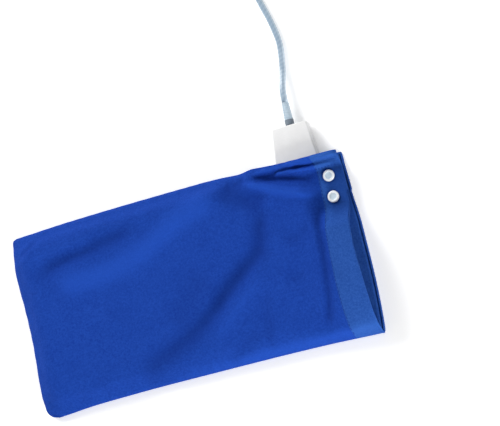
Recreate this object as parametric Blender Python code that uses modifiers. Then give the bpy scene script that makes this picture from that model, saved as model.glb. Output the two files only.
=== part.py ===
"""Heated mitt: a flat bag of brushed knit round a heated liner, with a terminal block, cord and hand control.

The mitt lies flat with its back panel on the ground. X runs from the closed end to the open cuff, Y across
the mitt towards the slit and the cord, Z up. The origin is the middle of the back panel's underside.
Every length is in metres.
"""

import math

import bmesh
import bpy
from mathutils import Matrix, Vector

# Clearance between touching pieces, and the overrun of a cutter past what it cuts.
GAP = 0.0003
OVERRUN = 0.004

# Cover
COVER_LENGTH = 0.330
COVER_WIDTH = 0.173
CLOTH = 0.0016
HEM_CLOTH = 0.0012
CORNER_RADIUS = 0.010
CORNER_SPREAD = 0.060
CLOSED_BOW = 0.0085
CLOSED_BOW_POWER = 8
SIDE_ROUNDING = 0.024
MOUTH_BOW = 0.004
CUFF_BAND = 0.026
SLIT_LENGTH = 0.105
SLIT_OPENING_RUN = 0.022
SLIT_SHARE = 0.97
CLOSED_CROWN = 0.0150
MIDDLE_CROWN = 0.0165
MOUTH_CROWN = 0.034
MOUTH_RISE_LENGTH = 0.085
MOUTH_CROWN_OFFSET = 0.025
MOUTH_CROWN_SPREAD = 0.060
SEAM_WIDTH = 0.006
SEAM_INSET = 0.002
SEAM_CORNER = 0.016
SEAM_HEIGHT = 0.0010
STITCH_RADIUS = 0.0004
FLAP_LEG = 0.0915
FLAP_AXIS_LOW = 0.0185
FLAP_AXIS_HIGH = 0.0365
EDGE_SHARES = (0.0, 0.14, 0.36, 0.65, 1.0)
BODY_STEPS = 7
SLIT_STEPS = 6
PANEL_STEPS = (11, 10)
BACK_ROW_SHARE = 0.6
PRISM_TOP = 0.050

# Main folds of the front panel. Each has its rise, its width and its route seen from above.
FOLD_ROOM = 0.0040
FOLD_DEPTH_LIMIT = 0.0038
FOLD_ENDS = 0.25
FOLD_SIDE_SHARE = 0.85
FOLD_X_END = 0.086
FOLD_X_FADE = 0.030
FOLD_FLAP_DISTANCE = 0.055
FOLD_FLAP_FADE = 0.035
FOLDS = (
    (0.0036, 0.013, ((0.058, 0.079), (-0.004, 0.064), (-0.055, 0.0455), (-0.100, 0.0355), (-0.146, 0.036))),
    (-0.0040, 0.012, ((0.074, 0.030), (0.046, 0.005), (0.021, -0.011), (0.004, -0.036), (-0.080, -0.072))),
    (0.0024, 0.011, ((0.066, -0.012), (0.024, -0.026), (0.006, -0.052), (-0.034, -0.068), (-0.092, -0.078))),
    (-0.0026, 0.010, ((0.020, 0.081), (-0.068, 0.060), (-0.102, 0.060), (-0.137, 0.053), (-0.166, 0.048))),
    (-0.0024, 0.010, ((0.062, 0.078), (0.083, 0.058), (0.078, 0.044), (0.067, 0.0), (0.059, -0.066))),
)

# Snaps
SNAP_FROM_MOUTH = 0.014
SNAP_FROM_SLIT = 0.0195
SNAP_SPACING = 0.020
SNAP_CAP_RADIUS = 0.0062
SNAP_CAP_HEIGHT = 0.0016
SNAP_RIM_WIDTH = 0.0027
SNAP_DISH_DEPTH = 0.0007
SNAP_POST_RADIUS = 0.0012
SNAP_HOLE_RADIUS = 0.0016
SNAP_PLATE = 0.0009
SNAP_PLATE_RADIUS = 0.0052
SNAP_NUB_RADIUS = 0.0020
SNAP_NUB_HEIGHT = 0.0012
SNAP_SOCKET_HEIGHT = 0.0028
SNAP_SOCKET_BORE = 0.0028
SNAP_MARGIN = 0.007
SNAP_FALL_MITT = 0.024
SNAP_FALL_SLIT = 0.010
SNAP_FALL_CLOSED = 0.014

# Heated liner
LINER_INSET = 0.012
LINER_FROM_MOUTH = 0.037
LINER_CORNER = 0.025
SKIN = 0.0004
FELT = 0.0015
WIRE_RADIUS = 0.0006
WIRE_INSET = 0.018
WIRE_RUNS = 6
WIRE_RUN_POINTS = 4
WIRE_TURN_POINTS = 5
BINDING = 0.0012
BINDING_CLEARANCE = 0.0008
WIRE_FROM_MOUTH = 0.048

# Terminal block
BLOCK_WIDTH = 0.042
BLOCK_LENGTH = 0.038
BLOCK_HEIGHT = 0.011
BLOCK_FROM_MOUTH = 0.042
BLOCK_TUCK = 0.0035
BLOCK_CLEARANCE = 0.0006
BLOCK_WALL = 0.0018
BLOCK_END_WALL = 0.009
BLOCK_EDGE = 0.0014
SLEEVE_WIDTH = 0.014
SLEEVE_HEIGHT = 0.0026
SLEEVE_INSIDE = 0.011
SPLICE_LENGTH = 0.010
SPLICE_WIDTH = 0.012
SPLICE_HEIGHT = 0.0044
CUTOUT_LENGTH = 0.008
CUTOUT_WIDTH = 0.005

# Screws of the block and of the control
SCREW_HEAD_RADIUS = 0.0022
SCREW_HEAD_HEIGHT = 0.0013
SCREW_RADIUS = 0.0011
SCREW_SHARE = 0.72
SCREW_SINK = 0.0016
SCREW_INSET = 0.006

# Hand control
CONTROL_LENGTH = 0.112
CONTROL_WIDTH = 0.042
CONTROL_HEIGHT = 0.022
CONTROL_WALL = 0.002
CONTROL_END_WALL = 0.014
CONTROL_EDGE = 0.005
CONTROL_CENTRE = (0.010, 0.432)
BOARD_INSET = 0.0006
BOARD_THICKNESS = 0.0016
SWITCH_LENGTH = 0.030
SWITCH_WIDTH = 0.010
SWITCH_HEIGHT = 0.006
SLIDER_TRAVEL = 0.012
SLIDER_STEM_LENGTH = 0.007
SLIDER_STEM_WIDTH = 0.004
SLIDER_LENGTH = 0.014
SLIDER_WIDTH = 0.016
SLIDER_HEIGHT = 0.0045
SLIDER_EDGE = 0.001
LENS_RADIUS = 0.0025
LENS_STAND = 0.0010
LENS_DEPTH = 0.0035
LENS_OFFSET = 0.030
SLIDER_OFFSET = 0.010

# Cord and strain reliefs
CORD_RADIUS = 0.003
RELIEF_RADIUS = 0.0042
RELIEF_TIP_RADIUS = 0.0032
RELIEF_LENGTH = 0.022
RELIEF_NECK_RADIUS = 0.0030
RELIEF_NECK = 0.006
RELIEF_RINGS = 3
TUBE_STEP = 0.014

# Cord coil
COIL_CENTRE = (-0.190, 0.400)
COIL_INNER_RADIUS = 0.0261
COIL_PITCH = 0.0067
COIL_TURNS = 4
COIL_POINTS = 24
TIE_THICKNESS = 0.0010
TIE_WIDTH = 0.010
TIE_ANGLE = math.radians(180)

# Plug
PLUG_LENGTH = 0.030
PLUG_WIDTH = 0.026
PLUG_HEIGHT = 0.018
PLUG_EDGE = 0.004
PLUG_REAR = (-0.055, 0.352)
BLADE_LENGTH = 0.0165
BLADE_THICKNESS = 0.0015
BLADE_WIDTH = 0.0063
WIDE_BLADE_WIDTH = 0.0079
BLADE_SPACING = 0.0127

# The cord's route on the ground, by hand: from the block to the control, to the coil and to the plug.
LEAD_ROUTE = (
    (0.1262, 0.176),
    (0.1285, 0.200),
    (0.1245, 0.223),
    (0.1180, 0.246),
    (0.112, 0.275),
    (0.116, 0.308),
    (0.136, 0.335),
    (0.166, 0.348),
    (0.192, 0.370),
    (0.198, 0.401),
    (0.178, 0.427),
    (0.142, 0.437),
)
LINK_ROUTE = ((-0.098, 0.432),)
TAIL_ROUTE = ((-0.148, 0.347), (-0.112, 0.351))

# Colours: red, green and blue from 0 to 1
KNIT_BLUE = (0.016, 0.065, 0.39)
BAND_BLUE = (0.030, 0.090, 0.40)
THREAD_BLUE = (0.020, 0.070, 0.34)
SNAP_WHITE = (0.80, 0.82, 0.86)
VINYL_WHITE = (0.78, 0.78, 0.75)
FELT_GREY = (0.62, 0.62, 0.60)
WIRE_CREAM = (0.70, 0.62, 0.45)
HOUSING_WHITE = (0.85, 0.85, 0.84)
CORD_GREY = (0.42, 0.55, 0.64)
COLLAR_GREY = (0.25, 0.30, 0.34)
BOARD_GREEN = (0.03, 0.22, 0.08)
DARK_PLASTIC = (0.03, 0.03, 0.035)
STEEL = (0.62, 0.62, 0.64)
BRASS = (0.70, 0.52, 0.24)
AMBER = (0.80, 0.28, 0.03)

HALF_LENGTH = COVER_LENGTH / 2
HALF_WIDTH = COVER_WIDTH / 2
BAND_START = HALF_LENGTH - CUFF_BAND
SLIT_START = HALF_LENGTH - SLIT_LENGTH
FOLD_SUM = HALF_LENGTH + HALF_WIDTH - FLAP_LEG
INSIDE_FLOOR = CLOTH + GAP
SNAP_X = HALF_LENGTH - SNAP_FROM_MOUTH
SNAP_YS = (HALF_WIDTH - SNAP_FROM_SLIT, HALF_WIDTH - SNAP_FROM_SLIT - SNAP_SPACING)
BACK_LIFT = SNAP_CAP_HEIGHT + GAP
STUD_SEAT = BACK_LIFT + CLOTH + GAP + HEM_CLOTH + GAP
SOCKET_SEAT = STUD_SEAT + SNAP_PLATE + GAP
FLAP_FACING_SEAT = SOCKET_SEAT + SNAP_SOCKET_HEIGHT + GAP
FRONT_AT_SNAP = FLAP_FACING_SEAT + HEM_CLOTH + GAP
LINER_SIDE = HALF_WIDTH - LINER_INSET
LINER_CLOSED_END = HALF_LENGTH - LINER_INSET
LINER_MOUTH = HALF_LENGTH - LINER_FROM_MOUTH
BLOCK_X = HALF_LENGTH - BLOCK_FROM_MOUTH
BLOCK_INNER_END = HALF_WIDTH - BLOCK_TUCK
BLOCK_Y = BLOCK_INNER_END + BLOCK_LENGTH / 2
BLOCK_BOTTOM = CLOTH + GAP + HEM_CLOTH + BLOCK_CLEARANCE
BLOCK_MIDDLE = BLOCK_BOTTOM + BLOCK_HEIGHT / 2
CONTROL_MIDDLE = CONTROL_HEIGHT / 2
CORD_HEIGHT = CORD_RADIUS + GAP
COIL_HEIGHT = TIE_THICKNESS + GAP + CORD_RADIUS
COIL_OUTER_RADIUS = COIL_INNER_RADIUS + COIL_TURNS * COIL_PITCH


def smooth(value):
    """A step from 0 to 1 that starts and ends level."""
    value = min(max(value, 0.0), 1.0)
    return value * value * (3 - 2 * value)


def corner_inset(y):
    """How far the closed end is drawn in at y by its round corners."""
    over = max(0.0, abs(y) - (HALF_WIDTH - CORNER_RADIUS))
    return CORNER_RADIUS - math.sqrt(max(0.0, CORNER_RADIUS**2 - over**2))


def closed_bow(x, y):
    """How far the closed end is bowed out at a place."""
    middle = 1 - min(1.0, abs(y) / HALF_WIDTH) ** CLOSED_BOW_POWER
    return CLOSED_BOW * middle * (1 - smooth((x + HALF_LENGTH) / CORNER_SPREAD))


def plan_x(x, y):
    """A grid line's x, drawn in at the round corners and bowed out at both ends."""
    closed = corner_inset(y) * (1 - smooth((x + HALF_LENGTH) / CORNER_SPREAD))
    bow = MOUTH_BOW * (1 - (y / HALF_WIDTH) ** 2) * smooth((x - BAND_START) / CUFF_BAND)
    return x + closed - closed_bow(x, y) + bow


def closed_distance(x, y):
    """How far a place seen from above lies in from the closed end."""
    return max(0.0, x + HALF_LENGTH - corner_inset(y) + closed_bow(x, y))


def side_rise(distance):
    """The share of the crown's height that the bag has at this distance from a sewn side."""
    inner = max(0.0, 1 - distance / SIDE_ROUNDING)
    return 1 - inner * inner


def snap_hold(x, y):
    """1 round the two snaps, where both panels are held together, falling to 0 away from them."""
    toward_closed = max(0.0, SNAP_X - SNAP_MARGIN - x) / SNAP_FALL_CLOSED
    toward_slit = max(0.0, y - SNAP_YS[0] - SNAP_MARGIN) / SNAP_FALL_SLIT
    toward_mitt = max(0.0, SNAP_YS[1] - SNAP_MARGIN - y) / SNAP_FALL_MITT
    return 1 - smooth(math.hypot(toward_closed, toward_slit, toward_mitt))


def back_under(x, y):
    """Height of the back panel's underside: flat, and lifted a little over the snaps' back caps."""
    return BACK_LIFT * snap_hold(x, y)


def crown(x, y):
    """Height of the filled bag's middle over its floor."""
    low = CLOSED_CROWN + (MIDDLE_CROWN - CLOSED_CROWN) * smooth((x + HALF_LENGTH) / COVER_LENGTH)
    rise = smooth((x - HALF_LENGTH + MOUTH_RISE_LENGTH) / MOUTH_RISE_LENGTH)
    across = math.exp(-(((y + MOUTH_CROWN_OFFSET) / MOUTH_CROWN_SPREAD) ** 2))
    return low + (MOUTH_CROWN - low) * rise * across


def filled_under(x, y):
    """Height of the front panel's underside without its folds, which the liner follows."""
    opened = SLIT_SHARE * smooth((x - SLIT_START) / SLIT_OPENING_RUN)
    slit_side = 1 - (1 - side_rise(HALF_WIDTH - y)) * (1 - opened)
    closed_side = side_rise(closed_distance(x, y))
    height = crown(x, y) * slit_side * closed_side * side_rise(HALF_WIDTH + y)
    hold = snap_hold(x, y)
    return INSIDE_FLOOR + height * (1 - hold) + (FRONT_AT_SNAP - INSIDE_FLOOR) * hold


def fold_rise(x, y):
    """How much the main folds raise or lower a place seen from above."""
    total = 0.0
    for rise, width, route in FOLDS:
        nearest = math.inf
        along = 0.0
        walked = 0.0
        for (ax, ay), (bx, by) in zip(route, route[1:]):
            length = math.dist((ax, ay), (bx, by))
            share = ((x - ax) * (bx - ax) + (y - ay) * (by - ay)) / length**2
            share = min(max(share, 0.0), 1.0)
            away = math.hypot(x - ax - share * (bx - ax), y - ay - share * (by - ay))
            if away < nearest:
                nearest = away
                along = walked + share * length
            walked += length
        ends = smooth(along / walked / FOLD_ENDS) * smooth((1 - along / walked) / FOLD_ENDS)
        total += rise * ends * math.exp(-((nearest / width) ** 2))
    return max(total, -FOLD_DEPTH_LIMIT)


def folded_share(x, y):
    """Where the cover lies in folds, from 0 to 1: away from its sides, the cuff and the corner that opens."""
    sides = side_rise(HALF_WIDTH - abs(y)) * side_rise(closed_distance(x, y))
    body = smooth((sides - FOLD_SIDE_SHARE) / (1 - FOLD_SIDE_SHARE))
    cuff = smooth((x - FOLD_X_END) / FOLD_X_FADE)
    corner = smooth((x + y - FOLD_SUM + FOLD_FLAP_DISTANCE) / FOLD_FLAP_FADE)
    return body * (1 - cuff) * (1 - corner)


def front_under(x, y):
    """Height of the front panel's underside."""
    puffed = FOLD_ROOM + fold_rise(x, y)
    return filled_under(x, y) + puffed * folded_share(x, y)


def spread(start, end, steps):
    """Evenly spaced values from start up to, and not including, end."""
    return [start + (end - start) * step / steps for step in range(steps)]


def grid_xs(body_steps=BODY_STEPS):
    """The panels' grid lines across X: close together at the closed end and at the cuff."""
    edge = [-HALF_LENGTH + SIDE_ROUNDING * share for share in EDGE_SHARES[:-1]]
    body = spread(SIDE_ROUNDING - HALF_LENGTH, SLIT_START, body_steps)
    slit = spread(SLIT_START, BAND_START, SLIT_STEPS)
    cuff = [BAND_START, SNAP_X - SNAP_MARGIN, SNAP_X, SNAP_X + SNAP_MARGIN, HALF_LENGTH]
    return edge + body + slit + cuff


def grid_ys(middle_steps=BODY_STEPS):
    """The panels' grid lines across Y: close together at both sides and round the snaps."""
    sides = [HALF_WIDTH - SIDE_ROUNDING * share for share in EDGE_SHARES[:-1]]
    snaps = [SNAP_YS[0] + SNAP_MARGIN, SNAP_YS[0], (SNAP_YS[0] + SNAP_YS[1]) / 2, SNAP_YS[1]]
    middle = spread(SNAP_YS[1] - SNAP_MARGIN, SIDE_ROUNDING - HALF_WIDTH, middle_steps)
    other_side = [SIDE_ROUNDING * share - HALF_WIDTH for share in reversed(EDGE_SHARES)]
    return sorted(set(sides + snaps + middle + other_side))


def new_collection(name, hidden=False):
    collection = bpy.data.collections.new(name)
    collection.hide_render = hidden
    bpy.context.scene.collection.children.link(collection)
    return collection


def clear_scene():
    for item in list(bpy.data.objects):
        bpy.data.objects.remove(item, do_unlink=True)


clear_scene()
MITT = new_collection("heated_mitt")
CUTTERS = new_collection("cutters", hidden=True)


def new_material(name, colour, roughness, metallic=0.0, alpha=1.0):
    material = bpy.data.materials.new(name)
    material.use_nodes = True
    shader = material.node_tree.nodes["Principled BSDF"]
    shader.inputs["Base Color"].default_value = (*colour, 1.0)
    shader.inputs["Roughness"].default_value = roughness
    shader.inputs["Metallic"].default_value = metallic
    shader.inputs["Alpha"].default_value = alpha
    return material


KNIT = new_material("knit", KNIT_BLUE, 0.95)
BAND = new_material("cuff_band", BAND_BLUE, 0.95)
THREAD = new_material("thread", THREAD_BLUE, 0.8)
SNAP = new_material("snap", SNAP_WHITE, 0.35)
VINYL = new_material("vinyl", VINYL_WHITE, 0.45)
PAD_FELT = new_material("felt", FELT_GREY, 0.95)
HEATER = new_material("heating_wire", WIRE_CREAM, 0.5)
HOUSING = new_material("housing", HOUSING_WHITE, 0.4)
CORD = new_material("cord", CORD_GREY, 0.25)
COLLAR = new_material("collar", COLLAR_GREY, 0.5)
BOARD = new_material("board", BOARD_GREEN, 0.5)
DARK = new_material("dark_plastic", DARK_PLASTIC, 0.5)
SCREW = new_material("screw", STEEL, 0.35, 1.0)
BLADE = new_material("blade", BRASS, 0.3, 1.0)
LENS = new_material("lens", AMBER, 0.2)


def place(name, data, material, collection=MITT, location=(0, 0, 0), turn=None):
    """Adds a named object with its own material."""
    item = bpy.data.objects.new(name, data)
    collection.objects.link(item)
    item.matrix_world = Matrix.Translation(location) @ (turn or Matrix())
    if material:
        data.materials.append(material)
    if collection is CUTTERS:
        item.hide_render = True
        item.display_type = "WIRE"
    return item


def from_bmesh(name, shape, material, smooth_faces=False, **options):
    """Adds an object made of a bmesh, with its faces turned outwards."""
    bmesh.ops.recalc_face_normals(shape, faces=shape.faces)
    data = bpy.data.meshes.new(name)
    shape.to_mesh(data)
    shape.free()
    if smooth_faces:
        data.shade_smooth()
        data.set_sharp_from_angle(angle=math.radians(35))
    return place(name, data, material, **options)


def box(name, size, centre, material=None, edge=0.0, **options):
    """A box with its edges rounded."""
    shape = bmesh.new()
    bmesh.ops.create_cube(shape, size=1)
    bmesh.ops.scale(shape, vec=size, verts=shape.verts)
    item = from_bmesh(name, shape, material, location=centre, **options)
    if edge:
        rounding = item.modifiers.new("Rounded edges", "BEVEL")
        rounding.width = edge
        rounding.segments = 2
        rounding.limit_method = "ANGLE"
    return item


def cutter(name, size, centre):
    return box(name, size, centre, collection=CUTTERS)


def rod_cutter(name, radius, length, centre, turn=None, sides=16):
    """A round cutter, its axis along Z before it is turned."""
    shape = bmesh.new()
    bmesh.ops.create_cone(
        shape, cap_ends=True, segments=sides, radius1=radius, radius2=radius, depth=length
    )
    return from_bmesh(name, shape, None, collection=CUTTERS, location=centre, turn=turn)


def cut(item, other, operation="DIFFERENCE"):
    change = item.modifiers.new(other.name, "BOOLEAN")
    change.operation = operation
    change.solver = "EXACT"
    change.object = other


def turned(name, profile, material, location, turn=None, steps=16, closed=False):
    """A turned piece: its profile of (radius, height) runs down its outer side. Closed makes it a ring."""
    shape = bmesh.new()
    points = [shape.verts.new((radius, 0, height)) for radius, height in profile]
    for first, second in zip(points, points[1:]):
        shape.edges.new((first, second))
    if closed:
        shape.edges.new((points[-1], points[0]))
    data = bpy.data.meshes.new(name)
    shape.to_mesh(data)
    shape.free()
    item = place(name, data, material, location=location, turn=turn)
    screw = item.modifiers.new("Turned", "SCREW")
    screw.steps = steps
    screw.render_steps = steps
    screw.use_merge_vertices = True
    screw.merge_threshold = GAP / 10
    screw.use_smooth_shade = True
    return item


def plan_prism(name, outline, top, collection=CUTTERS, material=None, bottom=None):
    """An upright prism on an outline of (x, y) points."""
    base = -OVERRUN if bottom is None else bottom
    shape = bmesh.new()
    shape.faces.new([shape.verts.new((x, y, base)) for x, y in outline])
    added = bmesh.ops.extrude_face_region(shape, geom=shape.faces[:])["geom"]
    risen = [part for part in added if isinstance(part, bmesh.types.BMVert)]
    bmesh.ops.translate(shape, vec=(0, 0, top - base), verts=risen)
    return from_bmesh(name, shape, material, collection=collection)


def draped_sheet(name, xs, ys, under, offset, thickness, material):
    """A sheet on the panels' grid, its underside offset from the height function under."""
    shape = bmesh.new()
    columns = len(xs) - 1
    rows = len(ys) - 1
    bmesh.ops.create_grid(shape, x_segments=columns, y_segments=rows, size=1)
    for point in shape.verts:
        column = round((point.co.x + 1) / 2 * columns)
        row = round((point.co.y + 1) / 2 * rows)
        x = plan_x(xs[column], ys[row])
        point.co = (x, ys[row], under(x, ys[row]) + offset)
    bmesh.ops.triangulate(shape, faces=shape.faces[:], quad_method="FIXED")
    added = bmesh.ops.extrude_face_region(shape, geom=shape.faces[:])["geom"]
    risen = [part for part in added if isinstance(part, bmesh.types.BMVert)]
    bmesh.ops.translate(shape, vec=(0, 0, thickness), verts=risen)
    return from_bmesh(name, shape, material, smooth_faces=True)


def smooth_route(route, heading, end_heading, step=TUBE_STEP):
    """Points at even steps along a smooth curve through the route's own points, and its length."""
    before = route[1] - 2 * (route[1] - route[0]).length * heading
    after = route[-2] + 2 * (route[-1] - route[-2]).length * end_heading
    ends = [before, *route, after]
    fine = []
    for before, first, second, after in zip(ends, ends[1:], ends[2:], ends[3:]):
        for part in range(COIL_POINTS):
            t = part / COIL_POINTS
            bend = (2 * before - 5 * first + 4 * second - after) * t**2
            twist = (3 * first - before - 3 * second + after) * t**3
            fine.append(first + ((second - before) * t + bend + twist) / 2)
    fine.append(route[-1])
    length = sum((b - a).length for a, b in zip(fine, fine[1:]))
    count = max(2, round(length / step))
    points = [fine[0]]
    walked = 0.0
    for a, b in zip(fine, fine[1:]):
        span = (b - a).length
        while len(points) < count and walked + span >= len(points) * length / count:
            share = (len(points) * length / count - walked) / span
            points.append(a.lerp(b, share))
        walked += span
    return [*points, fine[-1]], length


def tube(name, points, radius, material, resolution=2):
    """A round tube with filled ends through these points."""
    curve = bpy.data.curves.new(name, "CURVE")
    curve.dimensions = "3D"
    curve.bevel_depth = radius
    curve.bevel_resolution = resolution
    curve.use_fill_caps = True
    spline = curve.splines.new("POLY")
    spline.points.add(len(points) - 1)
    for target, point in zip(spline.points, points):
        target.co = (*point, 1)
    return place(name, curve, material)


def fold_prism(name, flap_side):
    """All that lies on one side of the cuff corner's fold line, seen from above."""
    far_x = HALF_LENGTH + MOUTH_BOW + OVERRUN
    far_y = HALF_WIDTH + OVERRUN
    line = FOLD_SUM + GAP if flap_side else FOLD_SUM - GAP
    fold = [(far_x, line - far_x), (line - far_y, far_y)]
    if flap_side:
        return plan_prism(name, [fold[0], (far_x, far_y), fold[1]], PRISM_TOP)
    closed_x = -HALF_LENGTH - CLOSED_BOW - OVERRUN
    near = [(closed_x, far_y), (closed_x, -far_y), (far_x, -far_y)]
    return plan_prism(name, [*near, *fold], PRISM_TOP)


def snap_places():
    return [(SNAP_X, y) for y in SNAP_YS]


def back_grid():
    """The back panel's own lines: few, because it lies flat but at the snaps."""
    edge = [SIDE_ROUNDING * share / 2 - HALF_LENGTH for share in EDGE_SHARES]
    xs = [*edge, 0.0, SLIT_START, *grid_xs()[-8:]]
    side = [HALF_WIDTH - SIDE_ROUNDING * share / 2 for share in EDGE_SHARES[:-1]]
    band = [y for y in grid_ys() if 0 < y < HALF_WIDTH - SIDE_ROUNDING * EDGE_SHARES[2]]
    ys = sorted({*side, *band, 0.0, -BACK_ROW_SHARE * HALF_WIDTH, *(-y for y in side)})
    return xs, ys


def stitching(name, ys):
    height = CLOTH + GAP + STITCH_RADIUS
    points = [(BAND_START, y, front_under(BAND_START, y) + height) for y in ys]
    return tube(name, points, STITCH_RADIUS, THREAD, resolution=0)


def seam_strip():
    """The seam allowance, inside the three sewn sides, from the slit round to the cuff's hem."""
    def path(inset):
        x_end = inset - HALF_LENGTH
        y_side = HALF_WIDTH - inset
        corner = SEAM_CORNER
        turn_y = y_side - corner
        points = [(SLIT_START, y_side)]
        for middle_y, first in ((turn_y, 90), (-turn_y, 180)):
            for step in range(BODY_STEPS):
                angle = math.radians(first + 90 * step / (BODY_STEPS - 1))
                x = x_end + corner + corner * math.cos(angle)
                points.append((x, middle_y + corner * math.sin(angle)))
            if first == 90:
                points += [(x_end, y) for y in spread(turn_y, -turn_y, BODY_STEPS)[1:]]
        points.append((BAND_START - GAP, -y_side))
        return [(x - closed_bow(x, y), y) for x, y in points]

    outline = [*path(SEAM_INSET), *reversed(path(SEAM_INSET + SEAM_WIDTH))]
    return plan_prism(
        "cover_seam_allowance", outline, INSIDE_FLOOR + SEAM_HEIGHT, MITT, KNIT, INSIDE_FLOOR
    )


def build_cover():
    """The bag's panels, hems and stitching. Returns the pieces that turn with the cuff corner."""
    body_side = fold_prism("body_side", False)
    flap_side = fold_prism("flap_side", True)
    xs = grid_xs(PANEL_STEPS[0])
    ys = grid_ys(PANEL_STEPS[1])
    cuff_xs = [x for x in xs if x >= BAND_START]
    slit_xs = [x for x in xs if SLIT_START <= x < BAND_START] + [BAND_START - GAP]
    hem_ys = ys[-3:]
    facing = -GAP - HEM_CLOTH

    back_xs, back_ys = back_grid()
    back_cuff_xs = [x for x in back_xs if x >= BAND_START]
    back = draped_sheet("cover_back_panel", back_xs, back_ys, back_under, 0.0, CLOTH, KNIT)
    back_facing = draped_sheet(
        "cuff_hem_back", back_cuff_xs, back_ys[1:], back_under, CLOTH + GAP, HEM_CLOTH, BAND
    )
    hem_start = SLIT_START + SLIT_OPENING_RUN / 2
    inner = [x for x in back_xs if hem_start < x < BAND_START]
    back_slit_xs = [hem_start, *inner, BAND_START - GAP]
    back_hem_ys = back_ys[-3:]
    draped_sheet("slit_hem_back", back_slit_xs, back_hem_ys, back_under, CLOTH + GAP, HEM_CLOTH, KNIT)
    seam_strip()

    front = draped_sheet("cover_front_panel", xs, ys, front_under, 0.0, CLOTH, KNIT)
    front_facing = draped_sheet("cuff_hem_front", cuff_xs, ys[1:], front_under, facing, HEM_CLOTH, BAND)
    flap = draped_sheet("cover_cuff_flap", xs, ys, front_under, 0.0, CLOTH, KNIT)
    flap_facing = draped_sheet("cuff_hem_flap", cuff_xs, ys, front_under, facing, HEM_CLOTH, BAND)
    flap_hem = draped_sheet("slit_hem_flap", slit_xs, hem_ys, front_under, facing, HEM_CLOTH, KNIT)
    for item in (front, front_facing):
        cut(item, body_side, "INTERSECT")
    for item in (flap, flap_facing, flap_hem):
        cut(item, flap_side, "INTERSECT")
    for number, (x, y) in enumerate(snap_places(), 1):
        hole = rod_cutter(f"snap_hole_{number}", SNAP_HOLE_RADIUS, 2 * PRISM_TOP, (x, y, 0), sides=8)
        for item in (back, back_facing, flap, flap_facing):
            cut(item, hole)

    fold_y = FOLD_SUM - BAND_START
    stitching("cuff_stitching_front", [y for y in ys[1:] if y < fold_y])
    flap_stitching = stitching("cuff_stitching_flap", [y for y in ys[:-1] if y > fold_y])
    return [flap, flap_facing, flap_hem, flap_stitching]


def snap_cap(name, x, y, height, upward):
    """A cap with a raised rim and a post that goes through the cloth."""
    post = GAP + CLOTH + GAP + HEM_CLOTH + GAP + SNAP_PLATE / 2
    dish = SNAP_CAP_HEIGHT - SNAP_DISH_DEPTH
    profile = [
        (0, dish),
        (SNAP_CAP_RADIUS - SNAP_RIM_WIDTH, dish),
        (SNAP_CAP_RADIUS - SNAP_RIM_WIDTH + SNAP_DISH_DEPTH, SNAP_CAP_HEIGHT),
        (SNAP_CAP_RADIUS - SNAP_DISH_DEPTH, SNAP_CAP_HEIGHT),
        (SNAP_CAP_RADIUS, SNAP_CAP_HEIGHT / 2),
        (SNAP_CAP_RADIUS, 0),
        (SNAP_POST_RADIUS, 0),
        (SNAP_POST_RADIUS, -post),
        (0, -post),
    ]
    turn = None if upward else Matrix.Rotation(math.pi, 4, "X")
    return turned(name, profile, SNAP, (x, y, height), turn)


def snap_socket(name, x, y):
    """The ring under the flap that grips the stud."""
    roof = SNAP_SOCKET_HEIGHT - SNAP_PLATE
    wall = (SNAP_SOCKET_BORE + SNAP_PLATE_RADIUS) / 2
    profile = [
        (SNAP_HOLE_RADIUS, SNAP_SOCKET_HEIGHT),
        (SNAP_PLATE_RADIUS, SNAP_SOCKET_HEIGHT),
        (SNAP_PLATE_RADIUS, roof),
        (wall, roof),
        (wall, 0),
        (SNAP_SOCKET_BORE, 0),
        (SNAP_SOCKET_BORE, roof),
        (SNAP_HOLE_RADIUS, roof),
    ]
    return turned(name, profile, SNAP, (x, y, SOCKET_SEAT), closed=True)


def snap_stud(name, x, y):
    top = SNAP_PLATE + SNAP_NUB_HEIGHT
    profile = [
        (0, top),
        (SNAP_NUB_RADIUS - SNAP_PLATE / 2, top),
        (SNAP_NUB_RADIUS, top - SNAP_PLATE / 2),
        (SNAP_NUB_RADIUS, SNAP_PLATE),
        (SNAP_PLATE_RADIUS, SNAP_PLATE),
        (SNAP_PLATE_RADIUS, 0),
        (SNAP_HOLE_RADIUS, 0),
        (SNAP_HOLE_RADIUS, SNAP_PLATE),
        (0, SNAP_PLATE),
    ]
    return turned(name, profile, SNAP, (x, y, STUD_SEAT))


def build_snaps():
    """The two snaps. Returns their front halves, which turn with the cuff corner."""
    front = []
    for number, (x, y) in enumerate(snap_places(), 1):
        front.append(snap_cap(f"snap_cap_front_{number}", x, y, FRONT_AT_SNAP + CLOTH + GAP, True))
        front.append(snap_socket(f"snap_socket_{number}", x, y))
        snap_stud(f"snap_stud_{number}", x, y)
        snap_cap(f"snap_cap_back_{number}", x, y, SNAP_CAP_HEIGHT, False)
    return front


def liner_outline(grow):
    """The liner's outline, larger by grow on its three closed sides."""
    corner = LINER_CORNER + grow
    side = LINER_SIDE + grow
    end = LINER_CLOSED_END + grow
    straight = [x for x in grid_xs() if corner - end < x < LINER_MOUTH] + [LINER_MOUTH]
    points = [(x, side) for x in reversed(straight)]
    for middle_y, first in ((side - corner, 90), (corner - side, 180)):
        for step in range(BODY_STEPS):
            angle = math.radians(first + 90 * step / (BODY_STEPS - 1))
            x = corner - end + corner * math.cos(angle)
            points.append((x, middle_y + corner * math.sin(angle)))
    return points + [(x, -side) for x in straight]


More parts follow.
